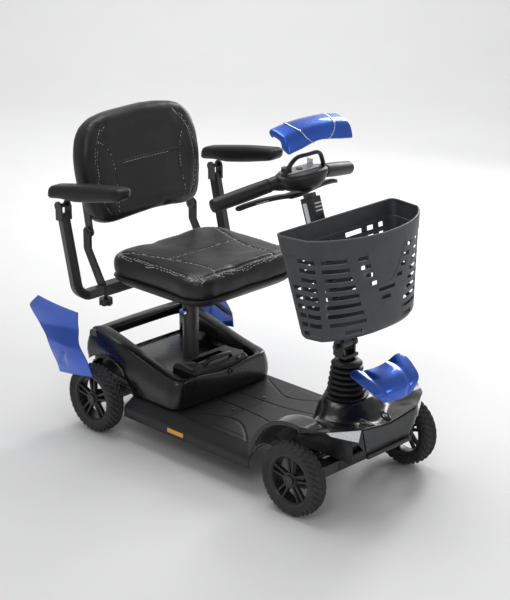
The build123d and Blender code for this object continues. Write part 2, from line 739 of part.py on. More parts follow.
with BuildPart() as backrest_cushion:
    lean_back = radians(RECLINE)
    face_plane = Plane(origin=reclined(BACK_START + BACK_H / 2, forward=14).origin, x_dir=(1, 0, 0),
                       z_dir=(0, -cos(lean_back), sin(lean_back)))
    with BuildSketch(face_plane):
        with BuildLine():
            Polyline((-190, -BACK_H / 2), (190, -BACK_H / 2), (214, -BACK_H / 2 + 60), (206, BACK_H / 2 - 70),
                     (170, BACK_H / 2 - 12), (90, BACK_H / 2), (-90, BACK_H / 2), (-170, BACK_H / 2 - 12),
                     (-206, BACK_H / 2 - 70), (-214, -BACK_H / 2 + 60), close=True)
        make_face()
    extrude(amount=50)
keep(backrest_cushion, "backrest_cushion")

# ---- armrests --------------------------------------------------------------------------
for name, side in SIDES.items():
    with BuildPart() as tube:
        with BuildLine() as route:
            FilletPolyline((side * 90, ARM_BAR_Y, ARM_BAR_Z), (side * ARM_X, ARM_BAR_Y, ARM_BAR_Z),
                           (side * ARM_X, PAD_PIVOT_Y, PAD_PIVOT_Z - 22), radius=36)
        with BuildSketch(Plane(origin=route.line @ 0, x_dir=(0, 1, 0), z_dir=(side, 0, 0))):
            Rectangle(ARM_TUBE, ARM_TUBE)
        sweep(path=route.line)
        for x in (-16, 16):
            with BuildSketch(across(side * ARM_X + x - 3)):
                with Locations((PAD_PIVOT_Y, PAD_PIVOT_Z)):
                    Circle(13)
                with Locations((PAD_PIVOT_Y - 3, PAD_PIVOT_Z - 20)):
                    Rectangle(24, 40)
            extrude(amount=6)
        with Locations(Location((side * ARM_X, PAD_PIVOT_Y, PAD_PIVOT_Z), (0, 90, 0))):
            Cylinder(6, 38)
    keep(tube, f"armrest_tube_{name}")

    pivot = Location((side * ARM_X, PAD_PIVOT_Y, PAD_PIVOT_Z), (0, 90, 0))
    with BuildPart() as pad:
        with Locations(Location((side * ARM_X, 276, PAD_PIVOT_Z + 61), (-PAD_LIFT, 0, 0))):
            Box(56, 306, 34)
        fillet(pad.edges().filter_by(Axis.X), radius=14)
        with Locations(pivot):
            Cylinder(12, 25)
        with Locations((side * ARM_X, PAD_PIVOT_Y - 6, PAD_PIVOT_Z + 18)):
            Box(25, 36, 26)
        with Locations(Location((side * ARM_X, PAD_PIVOT_Y - 70, PAD_PIVOT_Z + 40), (-PAD_LIFT, 0, 0))):
            Box(24, 170, 12)
        with Locations(pivot):
            Cylinder(6 + RUN, 60, mode=Mode.SUBTRACT)
    keep(pad, f"armrest_pad_{name}")

    with BuildPart() as knob:
        with Locations((side * 190, ARM_BAR_Y, 374)):
            Cylinder(19, 18, align=(Align.CENTER, Align.CENTER, Align.MIN))
            with PolarLocations(19, 6):
                Cylinder(4, 20, mode=Mode.SUBTRACT)
        with Locations((side * 190, ARM_BAR_Y, 390)):
            Cylinder(5, 16, align=(Align.CENTER, Align.CENTER, Align.MIN))
    keep(knob, f"armrest_knob_{name}")

# ---- front fairing ----------------------------------------------------------------------
LIP_Z = 166
FAIRING_OUT = [(-262, DECK_Z + 1), (-300, DECK_Z + 1), (-348, 244), (-450, 261), (-546, 226), (-542, 168),
               (-530, LIP_Z), (-330, LIP_Z), (-310, 118), (-262, 118)]
FAIRING_IN = [(-262, DECK_Z - 4), (-303, DECK_Z - 4), (-351, 239), (-450, 256), (-541, 222), (-537, LIP_Z),
              (-537, 100), (-262, 100)]
PLAN_OUT = [(-232, -262), (-232, -440), (-196, -506), (-112, -552),
            (112, -552), (196, -506), (232, -440), (232, -262)]
PLAN_IN = [(-228, -266), (-228, -438), (-193, -502), (-111, -547),
           (111, -547), (193, -502), (228, -438), (228, -266)]
WELL_R = WHEEL_R + 38
WELL_X = 118


def hood(side_outline, plan_outline):
    """A block with this outline from the side and this outline from above."""
    with BuildPart() as block:
        with BuildSketch(across(-240)):
            Polygon(*side_outline, align=None)
        extrude(amount=480)
        with BuildSketch(level(0)):
            Polygon(*plan_outline, align=None)
        extrude(amount=300, mode=Mode.INTERSECT)
    return block.part


hood_out, hood_in = hood(FAIRING_OUT, PLAN_OUT), hood(FAIRING_IN, PLAN_IN)
with BuildPart() as front_fairing:
    add(hood_out)
    add(hood_in, mode=Mode.SUBTRACT)
    for side in (1, -1):
        with Locations((side * WELL_X, -420, 190)):
            Box(4, 226, 108)
    add(hood_out, mode=Mode.INTERSECT)
    with Locations((0, COLUMN_Y, 250)):
        Cylinder(42, 60, mode=Mode.SUBTRACT)
    for side in (1, -1):
        with Locations(Location((side * 180, FRONT_Y, WHEEL_R), (0, 90, 0))):
            Cylinder(WELL_R, 116, mode=Mode.SUBTRACT)
        with Locations((side * 180, FRONT_Y, 100)):
            Box(116, 2 * WELL_R, 60, mode=Mode.SUBTRACT)
        with Locations((side * 36, -505, 240)):
            Cylinder(7, 60, mode=Mode.SUBTRACT)
    for side in (1, -1):
        with BuildSketch(level(150)):
            Polygon((side * 84, -553), (side * 84, -543), (side * 108, -540), (side * 112, -549), align=None)
        extrude(amount=LIP_Z - 150)
    with BuildSketch(level(150)):
        Polygon((-85, -553), (85, -553), (85, -543), (-85, -543), align=None)
    extrude(amount=LIP_Z - 149)
keep(front_fairing, "front_fairing")

with BuildPart() as front_reflectors:
    for side in (1, -1):
        with BuildSketch(level(206)):
            Polygon((side * 116, -551), (side * 188, -511.6), (side * 190, -515), (side * 118, -555),
                    align=None)
        extrude(amount=26)
keep(front_reflectors, "front_reflectors")

# ---- loose coloured covers, standing off their homes --------------------------------------
COVER_HOME_Y, COVER_HOME_Z = -234, 887
COVER_HALF = 120
with BuildPart() as tiller_cover:
    y0, z0 = COVER_HOME_Y + COVER_LIFT[1], COVER_HOME_Z + COVER_LIFT[2]
    outer = [(-41, -47), (-24, 3), (24, 20), (30, 12)]
    inner = [(28, 8), (24, 16), (-21, 0), (-37, -48)]
    with BuildSketch(across(-COVER_HALF)):
        Polygon(*[(y0 + y, z0 + z) for y, z in outer + inner], align=None)
    extrude(amount=2 * COVER_HALF)
    for side in (1, -1):
        with Locations((side * (COVER_HALF - 2), y0 - 8, z0 - 12)):
            Box(4, 44, 24)
keep(tiller_cover, "tiller_cover")

with BuildPart() as nose_cover:
    dy, dz = NOSE_LIFT[1], NOSE_LIFT[2]
    skin_out = [(-452, 274), (-544, 244), (-552, 227)]
    skin_in = [(-548, 227), (-541, 240), (-452, 269)]
    with BuildSketch(across(-106)):
        Polygon(*[(y + dy, z + dz) for y, z in skin_out + skin_in], align=None)
    extrude(amount=212)
    with BuildSketch(level(250)):
        Polygon((-104, -450 + dy), (-106, -504 + dy), (-60, -560 + dy), (60, -560 + dy),
                (106, -504 + dy), (104, -450 + dy), align=None)
    extrude(amount=200, mode=Mode.INTERSECT)
    with Locations((0, COLUMN_Y - 4 + dy, 360)):
        Cylinder(72, 200, mode=Mode.SUBTRACT)
keep(nose_cover, "nose_cover")

PANEL_X = 262                   # home of each rear side panel's inner face
PANEL_HOME = [(484, 270), (456, 300), (312, 295), (314, 259), (304, 222), (257, 176), (244, 135), (370, 121),
              (386, 176), (409, 212)]
for name, side in SIDES.items():
    with BuildPart() as panel:
        with BuildSketch(across(side * (PANEL_X + SIDE_LIFT[0]))):
            Polygon(*[(y + SIDE_LIFT[1], z + SIDE_LIFT[2]) for y, z in PANEL_HOME], align=None)
        extrude(amount=side * 4)
    keep(panel, f"rear_panel_{name}")
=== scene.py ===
"""Looks of the mobility scooter. Metres; forward is -Y, the rider's left is +X, up is +Z."""
import math

import bmesh
import bpy
from mathutils import Matrix, Vector, noise
from mathutils.bvhtree import BVHTree
from mathutils.kdtree import KDTree


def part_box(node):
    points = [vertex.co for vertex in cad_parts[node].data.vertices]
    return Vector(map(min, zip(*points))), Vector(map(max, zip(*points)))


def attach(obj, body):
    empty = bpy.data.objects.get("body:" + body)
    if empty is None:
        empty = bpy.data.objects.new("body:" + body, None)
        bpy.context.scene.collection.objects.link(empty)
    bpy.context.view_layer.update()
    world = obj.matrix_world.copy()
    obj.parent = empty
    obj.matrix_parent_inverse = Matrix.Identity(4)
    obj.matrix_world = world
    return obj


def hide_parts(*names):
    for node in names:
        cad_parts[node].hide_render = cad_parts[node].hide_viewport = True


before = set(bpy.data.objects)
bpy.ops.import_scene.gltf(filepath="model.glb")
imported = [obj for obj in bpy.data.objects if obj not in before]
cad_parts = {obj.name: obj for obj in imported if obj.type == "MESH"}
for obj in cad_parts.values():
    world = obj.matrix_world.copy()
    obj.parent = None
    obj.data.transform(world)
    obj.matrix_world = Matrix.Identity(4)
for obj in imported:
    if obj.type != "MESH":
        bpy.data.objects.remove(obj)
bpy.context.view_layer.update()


scene = bpy.context.scene

# ---- shared sizes, as in the CAD -------------------------------------------------------
FRONT_Y, REAR_Y = -0.418, 0.347
FRONT_X, REAR_X = 0.220, 0.226
WHEEL_R, TYRE_W = 0.100, 0.050
COLUMN_Y = -0.397
DECK_Z = 0.127
SIDES = (("left", 1), ("right", -1))

# ---- camera, floor and light -----------------------------------------------------------
camera = bpy.data.objects.new("camera", bpy.data.cameras.new("camera"))
scene.collection.objects.link(camera)
scene.camera = camera
camera.data.sensor_width = 36
camera.data.lens = 104.6
camera.data.clip_end = 60
eye, aim = Vector((-3.1621, -3.1763, 2.0345)), Vector((0.0064, -0.056, 0.4346))
camera.location = eye
camera.rotation_euler = (aim - eye).to_track_quat("-Z", "Y").to_euler()


def lamp(name, place, target, size, power):
    """A soft rectangular lamp at place, facing target."""
    light = bpy.data.lights.new(name, "AREA")
    light.shape = "RECTANGLE"
    light.size, light.size_y = size
    light.energy = power
    obj = bpy.data.objects.new(name, light)
    scene.collection.objects.link(obj)
    obj.location = place
    obj.rotation_euler = (Vector(target) - Vector(place)).to_track_quat("-Z", "Y").to_euler()


lamp("overhead", (0.1, 0.5, 3.0), (0, 0, 0), (1.8, 1.8), 40)
lamp("key", (-2.4, -1.8, 2.6), (0, 0, 0.4), (1.0, 1.0), 15)
lamp("far_side", (2.4, 0.6, 1.6), (0, 0, 0.5), (0.6, 1.8), 30)
lamp("front", (1.2, -3.2, 1.2), (0, -0.2, 0.4), (1.2, 0.8), 9)
lamp("backdrop", (1.6, 1.6, 3.4), (5.0, 5.0, 1.0), (3.0, 3.0), 110)

world = bpy.data.worlds.new("studio")
scene.world = world
world.use_nodes = True
world.node_tree.nodes["Background"].inputs["Color"].default_value = (0.92, 0.925, 0.93, 1)
world.node_tree.nodes["Background"].inputs["Strength"].default_value = 0.40
scene.view_settings.view_transform = "Standard"


# ---- materials -------------------------------------------------------------------------
def nodes_of(name):
    """A new material's node tree, its shader node, and the object coordinates."""
    material = bpy.data.materials.new(name)
    material.use_nodes = True
    tree = material.node_tree
    shader = tree.nodes["Principled BSDF"]
    coords = tree.nodes.new("ShaderNodeTexCoord").outputs["Object"]
    return material, tree, shader, coords


def noise_at(tree, coords, scale, detail=3.0, rough=0.55):
    """Noise texture with this many lumps per metre."""
    node = tree.nodes.new("ShaderNodeTexNoise")
    node.inputs["Scale"].default_value = scale
    node.inputs["Detail"].default_value = detail
    node.inputs["Roughness"].default_value = rough
    tree.links.new(coords, node.inputs["Vector"])
    return node.outputs["Fac"]


def cells_at(tree, coords, scale, feature="F1"):
    """Cell texture, for grain and for grids."""
    node = tree.nodes.new("ShaderNodeTexVoronoi")
    node.feature = feature
    node.inputs["Scale"].default_value = scale
    tree.links.new(coords, node.inputs["Vector"])
    return node.outputs["Distance"]


def ramp(tree, fac, stops):
    """Colour ramp through (place, colour) stops."""
    node = tree.nodes.new("ShaderNodeValToRGB")
    while len(node.color_ramp.elements) < len(stops):
        node.color_ramp.elements.new(0.5)
    for element, (place, colour) in zip(node.color_ramp.elements, stops):
        element.position = place
        element.color = (*colour, 1)
    tree.links.new(fac, node.inputs["Fac"])
    return node.outputs["Color"]


def to_range(tree, fac, low, high):
    """Spread 0 to 1 over low to high."""
    node = tree.nodes.new("ShaderNodeMapRange")
    node.inputs["To Min"].default_value = low
    node.inputs["To Max"].default_value = high
    tree.links.new(fac, node.inputs["Value"])
    return node.outputs["Result"]


def add_bump(tree, shader, layers):
    """Stack bump layers: (height, strength, distance in metres)."""
    normal = None
    for height, strength, distance in layers:
        node = tree.nodes.new("ShaderNodeBump")
        node.inputs["Strength"].default_value = strength
        node.inputs["Distance"].default_value = distance
        tree.links.new(height, node.inputs["Height"])
        if normal:
            tree.links.new(normal, node.inputs["Normal"])
        normal = node.outputs["Normal"]
    tree.links.new(normal, shader.inputs["Normal"])


def blend(tree, fac, base, colour):
    """Base colour that turns to another one where fac is high."""
    node = tree.nodes.new("ShaderNodeMix")
    node.data_type = "RGBA"
    tree.links.new(fac, node.inputs["Factor"])
    tree.links.new(base, node.inputs["A"])
    node.inputs["B"].default_value = (*colour, 1)
    return node.outputs["Result"]


def edge_wear(tree, base, worn):
    """Base colour that turns to the worn colour on sharp outer edges."""
    geometry = tree.nodes.new("ShaderNodeNewGeometry")
    mask = ramp(tree, geometry.outputs["Pointiness"], [(0.52, (0, 0, 0)), (0.62, (1, 1, 1))])
    return blend(tree, mask, base, worn)


def moulded(name, dark, light, rough, grain, depth, coat=0.0, specular=0.5):
    """Moulded plastic: fine grain, cloudy gloss, slightly paler edges."""
    material, tree, shader, coords = nodes_of(name)
    cloud = noise_at(tree, coords, 22, 4)
    base = ramp(tree, cloud, [(0.35, dark), (0.7, light)])
    worn = tuple(min(1, c * 1.6 + 0.006) for c in light)
    tree.links.new(edge_wear(tree, base, worn), shader.inputs["Base Color"])
    tree.links.new(to_range(tree, noise_at(tree, coords, 24, 3), rough - 0.03, rough + 0.05),
                   shader.inputs["Roughness"])
    shader.inputs["Coat Weight"].default_value = coat
    shader.inputs["Coat Roughness"].default_value = 0.12
    shader.inputs["Specular IOR Level"].default_value = specular
    add_bump(tree, shader, [(cells_at(tree, coords, grain), depth, 0.0004),
                            (noise_at(tree, coords, 9, 2), 0.03, 0.0015)])
    return material


def metal(name, dark, light, rough, brush=(1, 1, 1), depth=0.05):
    """Bare or plated metal with fine brushed streaks and hazy spots."""
    material, tree, shader, coords = nodes_of(name)
    mapping = tree.nodes.new("ShaderNodeMapping")
    mapping.inputs["Scale"].default_value = brush
    tree.links.new(coords, mapping.inputs["Vector"])
    streak = noise_at(tree, mapping.outputs["Vector"], 300, 4)
    tree.links.new(ramp(tree, streak, [(0.3, dark), (0.7, light)]), shader.inputs["Base Color"])
    shader.inputs["Metallic"].default_value = 1.0
    tree.links.new(to_range(tree, noise_at(tree, coords, 40, 4), rough * 0.7, rough * 1.5),
                   shader.inputs["Roughness"])
    add_bump(tree, shader, [(streak, depth, 0.0004)])
    return material


def coated_steel():
    """Black powder coat: orange peel and soft gloss."""
    material, tree, shader, coords = nodes_of("powder_coat")
    cloud = noise_at(tree, coords, 14, 4)
    base = ramp(tree, cloud, [(0.3, (0.006, 0.006, 0.0065)), (0.75, (0.010, 0.010, 0.011))])
    tree.links.new(edge_wear(tree, base, (0.06, 0.06, 0.062)), shader.inputs["Base Color"])
    tree.links.new(to_range(tree, noise_at(tree, coords, 90, 4), 0.26, 0.42), shader.inputs["Roughness"])
    add_bump(tree, shader, [(noise_at(tree, coords, 700, 2), 0.18, 0.0005)])
    return material


def lacquer():
    """Metallic blue lacquer: flakes under a clear coat."""
    material, tree, shader, coords = nodes_of("blue_lacquer")
    flakes = cells_at(tree, coords, 1400)
    drift = noise_at(tree, coords, 5, 2)
    base = ramp(tree, drift, [(0.3, (0.006, 0.040, 0.42)), (0.7, (0.010, 0.085, 0.62))])
    tree.links.new(blend(tree, to_range(tree, flakes, 0.0, 0.35), base, (0.05, 0.30, 1.0)),
                   shader.inputs["Base Color"])
    shader.inputs["Metallic"].default_value = 0.80
    tree.links.new(to_range(tree, flakes, 0.22, 0.40), shader.inputs["Roughness"])
    shader.inputs["Coat Weight"].default_value = 1.0
    shader.inputs["Coat Roughness"].default_value = 0.03
    add_bump(tree, shader, [(flakes, 0.05, 0.0003)])
    return material


def leather(name):
    """Black grained leather with soft creases."""
    material, tree, shader, coords = nodes_of(name)
    pores = cells_at(tree, coords, 900)
    grain = cells_at(tree, coords, 420, "SMOOTH_F1")
    crease = noise_at(tree, coords, 26, 6, 0.62)
    tone = noise_at(tree, coords, 11, 4)
    base = ramp(tree, tone, [(0.3, (0.005, 0.005, 0.0055)), (0.7, (0.009, 0.009, 0.0095))])
    tree.links.new(base, shader.inputs["Base Color"])
    tree.links.new(to_range(tree, crease, 0.30, 0.50), shader.inputs["Roughness"])
    shader.inputs["Sheen Weight"].default_value = 0.05
    add_bump(tree, shader, [(crease, 0.22, 0.0022), (grain, 0.30, 0.0006), (pores, 0.18, 0.0003)])
    return material


def rubber(name, dark, light, rough, depth=0.2, scale=500):
    """Rubber or soft foam skin, dusty in patches."""
    material, tree, shader, coords = nodes_of(name)
    dust = noise_at(tree, coords, 30, 6, 0.65)
    tree.links.new(ramp(tree, dust, [(0.35, dark), (0.72, light)]), shader.inputs["Base Color"])
    tree.links.new(to_range(tree, dust, rough - 0.08, rough + 0.1), shader.inputs["Roughness"])
    shader.inputs["Specular IOR Level"].default_value = 0.4
    add_bump(tree, shader, [(noise_at(tree, coords, scale, 3), depth, 0.0004)])
    return material


def thread():
    """Pale sewing thread, twisted."""
    material, tree, shader, coords = nodes_of("thread")
    twist = noise_at(tree, coords, 2500, 2)
    tree.links.new(ramp(tree, twist, [(0.3, (0.42, 0.42, 0.41)), (0.7, (0.72, 0.72, 0.70))]),
                   shader.inputs["Base Color"])
    shader.inputs["Roughness"].default_value = 0.7
    add_bump(tree, shader, [(twist, 0.4, 0.0004)])
    return material


def reflector(name, dark, light):
    """Reflector lens with small cells behind a clear face."""
    material, tree, shader, coords = nodes_of(name)
    cells = cells_at(tree, coords, 260, "DISTANCE_TO_EDGE")
    tree.links.new(ramp(tree, cells, [(0.0, dark), (0.25, light)]), shader.inputs["Base Color"])
    shader.inputs["Roughness"].default_value = 0.18
    shader.inputs["Coat Weight"].default_value = 1.0
    shader.inputs["Coat Roughness"].default_value = 0.05
    add_bump(tree, shader, [(cells, 0.5, 0.0008)])
    return material


def plain_floor():
    """Pale studio paper, very faintly mottled."""
    material, tree, shader, coords = nodes_of("paper")
    mottle = noise_at(tree, coords, 3, 4)
    tree.links.new(ramp(tree, mottle, [(0.3, (0.83, 0.83, 0.83)), (0.7, (0.85, 0.85, 0.85))]),
                   shader.inputs["Base Color"])
    shader.inputs["Roughness"].default_value = 0.6
    return material


LOOKS = {
    "shell": moulded("satin_black_shell", (0.0055, 0.0055, 0.006), (0.0075, 0.0075, 0.008), 0.27, 900, 0.03,
                     coat=0.25),
    "chin": moulded("matte_grey_shell", (0.036, 0.037, 0.039), (0.048, 0.049, 0.052), 0.50, 700, 0.25),
    "deck": moulded("deck_grain", (0.009, 0.009, 0.010), (0.013, 0.013, 0.014), 0.44, 420, 0.35,
                    specular=0.45),
    "plastic": moulded("black_plastic", (0.007, 0.007, 0.0075), (0.011, 0.011, 0.012), 0.40, 700, 0.22),
    "basket": moulded("basket_grain", (0.046, 0.049, 0.054), (0.062, 0.066, 0.072), 0.46, 520, 0.30),
    "rim": moulded("rim_plastic", (0.010, 0.010, 0.011), (0.016, 0.016, 0.017), 0.36, 700, 0.18),
    "steel": coated_steel(),
    "zinc": metal("zinc_plate", (0.42, 0.42, 0.44), (0.62, 0.62, 0.63), 0.30),
    "bolt": metal("dark_bolt", (0.10, 0.10, 0.105), (0.20, 0.20, 0.21), 0.35, depth=0.03),
    "chrome": metal("chrome", (0.78, 0.78, 0.80), (0.92, 0.92, 0.93), 0.09, depth=0.01),
    "silver": metal("silver_trim", (0.62, 0.63, 0.65), (0.82, 0.83, 0.85), 0.24, (1, 8, 1)),
    "cast": metal("cast_alloy", (0.22, 0.22, 0.23), (0.36, 0.36, 0.37), 0.45, depth=0.3),
    "blue": lacquer(),
    "leather": leather("seat_leather"),
    "thread": thread(),
    "tyre": rubber("tyre_rubber", (0.028, 0.028, 0.030), (0.050, 0.050, 0.053), 0.70, 0.35, 320),
    "soft": rubber("soft_rubber", (0.008, 0.008, 0.009), (0.014, 0.014, 0.015), 0.44),
    "pad": rubber("pad_skin", (0.008, 0.008, 0.009), (0.014, 0.014, 0.015), 0.42, 0.28, 650),
    "white_lens": reflector("white_reflector", (0.62, 0.64, 0.66), (0.86, 0.87, 0.88)),
    "amber_lens": reflector("amber_reflector", (0.75, 0.28, 0.01), (0.95, 0.52, 0.02)),
    "stripe": metal("pale_stripe", (0.50, 0.60, 0.82), (0.66, 0.76, 0.92), 0.22, depth=0.01),
    "red_lens": reflector("red_reflector", (0.35, 0.01, 0.01), (0.62, 0.02, 0.02)),
}

floor_mesh = bpy.data.meshes.new("floor")
floor_rows = [(y, 0.0) for y in (-9, -4, 0, 4)] + [
    (4 + 2.5 * math.sin(a), 2.5 - 2.5 * math.cos(a)) for a in [math.radians(10 * i) for i in range(1, 10)]
] + [(6.5, 5.0), (6.5, 9.0)]
floor_turn = Matrix.Rotation(math.radians(-45), 3, "Z")
floor_verts = [floor_turn @ Vector((x, y, z)) for y, z in floor_rows for x in (-9, 9)]
floor_faces = [(2 * i, 2 * i + 1, 2 * i + 3, 2 * i + 2) for i in range(len(floor_rows) - 1)]
floor_mesh.from_pydata(floor_verts, [], floor_faces)
floor = bpy.data.objects.new("floor", floor_mesh)
scene.collection.objects.link(floor)
floor.data.materials.append(plain_floor())
floor.data.polygons.foreach_set("use_smooth", [True] * len(floor.data.polygons))

# ---- finishes of the CAD pieces ----------------------------------------------------------
FINISHES = {
    "steel": ["frame_rails", "front_axle_beam", "seat_post_tube", "seat_frame", "backrest_frame",
              "armrest_tube_left", "armrest_tube_right", "basket_bracket", "tiller_tube",
              "steering_knuckle_left", "steering_knuckle_right", "steering_column", "drive_motor",
              "handlebar"],
    "zinc": ["tie_rod", "seat_stem"],
    "chrome": ["seat_post_bolt"],
    "bolt": ["body_screws", "charger_socket"],
    "silver": ["tiller_trim", "ignition_key"],
    "cast": ["transaxle"],
    "plastic": ["battery_pack", "controller", "console_base", "tiller_sleeve", "tilt_lever",
                "throttle_paddle", "speed_dial", "horn_button", "seat_pan", "swivel_lever",
                "armrest_knob_left", "armrest_knob_right", "freewheel_lever"],
    "shell": ["rear_shroud", "front_fairing"],
    "deck": ["floor_pan"],
    "basket": ["basket"],
    "rim": ["rim_front_left", "rim_front_right", "rim_rear_left", "rim_rear_right"],
    "tyre": ["tyre_front_left", "tyre_front_right", "tyre_rear_left", "tyre_rear_right", "anti_tip_wheels"],
    "soft": ["steering_bellows", "grips"],
    "pad": ["armrest_pad_left", "armrest_pad_right"],
    "leather": ["seat_cushion", "backrest_cushion"],
    "blue": ["tiller_cover", "nose_cover", "rear_panel_left", "rear_panel_right"],
    "white_lens": ["front_reflectors"],
    "amber_lens": ["side_reflectors"],
}
for look, names in FINISHES.items():
    for name in names:
        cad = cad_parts[name]
        for i in range(max(1, len(cad.material_slots))):
            if not cad.material_slots:
                cad.data.materials.append(LOOKS[look])
            cad.material_slots[i].material = LOOKS[look]


# ---- mesh helpers ------------------------------------------------------------------------
def mix(a, b, t):
    """Straight blend from a to b."""
    return a + (b - a) * t


def ease(low, high, value):
    """Smooth step: 0 below low, 1 above high."""
    t = min(1.0, max(0.0, (value - low) / (high - low)))
    return t * t * (3 - 2 * t)


def dome(t):
    """A quarter circle: 0 at 0, 1 from 1 on."""
    return math.sqrt(max(0.0, 1 - (1 - min(1, t)) ** 2))


def bell(value, width):
    """A smooth bump of height 1 at 0."""
    return math.exp(-((value / width) ** 2))


def through(points, step=0.006, closed=False):
    """Smooth curve through the points, resampled about every step metres."""
    pts = [Vector(p) for p in points]
    count = len(pts)
    ends = [pts[i % count] if closed else pts[min(max(i, 0), count - 1)] for i in range(-1, count + 2)]
    line = []
    for i in range(count if closed else count - 1):
        a, b, c, d = ends[i], ends[i + 1], ends[i + 2], ends[i + 3]
        cuts = max(2, round((c - b).length / step))
        for k in range(cuts):
            t = k / cuts
            line.append(0.5 * (2 * b + (c - a) * t + (2 * a - 5 * b + 4 * c - d) * t * t
                               + (3 * b - a - 3 * c + d) * t ** 3))
    return line if closed else line + [pts[-1]]


def spread(low, high, steps):
    """Evenly spaced values from low to high."""
    return [mix(low, high, i / steps) for i in range(steps + 1)]


def full_turn(count, extra=0):
    """Angles round a circle, with a few more past the start where a ring overlaps itself."""
    return [math.tau * i / count for i in range(count + extra)]


def arc(centre, radius, start, end, steps=8):
    """Points (u, v) of a circular arc, angles in degrees."""
    turns = [math.radians(t) for t in spread(start, end, steps)]
    return [(centre[0] + radius * math.cos(t), centre[1] + radius * math.sin(t)) for t in turns]


def rounded(half_u, half_v, radius, steps=6):
    """Outline (u, v) of a rectangle with round corners, about the origin."""
    outline = []
    for i, (u, v) in enumerate(((1, 1), (-1, 1), (-1, -1), (1, -1))):
        centre = (u * (half_u - radius), v * (half_v - radius))
        outline += arc(centre, radius, 90 * i, 90 * i + 90, steps)
    return outline


def inset(outline, distance):
    """A closed outline (u, v) moved inwards by distance, for one that runs anticlockwise."""
    moved = []
    for i, (u, v) in enumerate(outline):
        before, after = outline[i - 1], outline[(i + 1) % len(outline)]
        along = Vector((after[0] - before[0], after[1] - before[1])).normalized()
        moved.append((u - along.y * distance, v + along.x * distance))
    return moved


class Shape:
    """Vertices and faces of one mesh."""

    def __init__(self):
        self.verts, self.faces = [], []

    def add(self, verts, faces):
        """Take in more geometry."""
        base = len(self.verts)
        self.verts += [tuple(v) for v in verts]
        self.faces += [tuple(base + i for i in face) for face in faces]
        return self

    def grid(self, rows, ring=False, hole=None):
        """A sheet through rows of points. ring closes each row, and hole(row, column) leaves a cell out."""
        wide = len(rows[0])
        spans = wide if ring else wide - 1
        faces = [(r * wide + c, r * wide + (c + 1) % wide,
                  (r + 1) * wide + (c + 1) % wide, (r + 1) * wide + c)
                 for r in range(len(rows) - 1) for c in range(spans) if not (hole and hole(r, c))]
        return self.add([p for row in rows for p in row], faces)

    def loft(self, rings):
        """A closed form through rings of points, capped at both ends."""
        self.grid(rings, ring=True)
        wide = len(rings[0])
        self.add(rings[0], [tuple(reversed(range(wide)))])
        return self.add(rings[-1], [tuple(range(wide))])

    def tube(self, path, radius, sides=16):
        """A round bar along path. radius is a number or a function of the share of the way."""
        pts = [Vector(p) for p in path]
        side = None
        rings = []
        for i, p in enumerate(pts):
            along = (pts[min(i + 1, len(pts) - 1)] - pts[max(i - 1, 0)]).normalized()
            if side is None:
                side = along.orthogonal().normalized()
            side = (side - along * side.dot(along)).normalized()
            other = along.cross(side)
            r = radius(i / (len(pts) - 1)) if callable(radius) else radius
            rings.append([p + r * (side * math.cos(t) + other * math.sin(t)) for t in full_turn(sides)])
        return self.loft(rings)

    def lathe(self, profile, centre, axis=(0, 0, 1), steps=48, wave=None):
        """A form turned about axis. profile is a closed list of (along, radius)."""
        axis = Vector(axis).normalized()
        side = axis.orthogonal().normalized()
        other = axis.cross(side)
        rows = []
        for t in full_turn(steps, 1):
            out = side * math.cos(t) + other * math.sin(t)
            rows.append([Vector(centre) + axis * a + out * (r + (wave(t, a, r) if wave else 0))
                         for a, r in profile])
        return self.grid(rows, ring=True)

    def slab(self, outline, place, levels):
        """A closed form over an outline: place(u, v, h) maps to space, levels lists (h, inset)."""
        return self.loft([[place(u, v, h) for u, v in inset(outline, d)] for h, d in levels])


def soft_edges(depth, radius):
    """Levels (h, inset) of a slab of this depth with rounded upper and lower edges."""
    low = [(radius - radius * math.cos(t), radius - radius * math.sin(t)) for t in spread(0, math.pi / 2, 4)]
    return low + [(depth - h, d) for h, d in reversed(low)]


def finish_mesh(mesh, angle):
    """Merge doubled points, turn faces outwards and shade smooth except across sharp edges."""
    bm = bmesh.new()
    bm.from_mesh(mesh)
    bmesh.ops.remove_doubles(bm, verts=bm.verts, dist=0.00002)
    bmesh.ops.dissolve_degenerate(bm, edges=bm.edges, dist=0.00001)
    bmesh.ops.recalc_face_normals(bm, faces=bm.faces)
    for face in bm.faces:
        face.smooth = True
    for edge in bm.edges:
        edge.smooth = edge.calc_face_angle(0.0) < math.radians(angle)
    loose = [v for v in bm.verts if not v.link_faces]
    bmesh.ops.delete(bm, geom=loose, context="VERTS")
    bm.to_mesh(mesh)
    bm.free()


def piece(name, shape, body, look, swap=(), thick=0.0, offset=-1.0, bevel=0.0, levels=0, angle=38):
    """Make a visible piece from a shape, give it its finish and hang it on its body."""
    mesh = bpy.data.meshes.new(name)
    mesh.from_pydata(shape.verts, [], shape.faces)
    finish_mesh(mesh, angle)
    obj = bpy.data.objects.new(name, mesh)
    scene.collection.objects.link(obj)
    if thick:
        wall = obj.modifiers.new("wall", "SOLIDIFY")
        wall.thickness, wall.offset = thick, offset
    if bevel:
        edge = obj.modifiers.new("edge", "BEVEL")
        edge.width, edge.segments, edge.limit_method = bevel, 2, "ANGLE"
        edge.angle_limit = math.radians(32)
        edge.harden_normals = True
    if levels:
        finer = obj.modifiers.new("finer", "SUBSURF")
        finer.levels = finer.render_levels = levels
    mesh.materials.append(LOOKS[look])
    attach(obj, body)
    if swap:
        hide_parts(*swap)
    return obj


def apply_all(obj):
    """Turn an object's modifiers into its mesh."""
    graph = bpy.context.evaluated_depsgraph_get()
    mesh = bpy.data.meshes.new_from_object(obj.evaluated_get(graph))
    old = obj.data
    obj.modifiers.clear()
    obj.data = mesh
    bpy.data.meshes.remove(old)


PAD_VOXEL, PAD_PRESSURE, PAD_FRAMES = 0.010, 3.0, 20


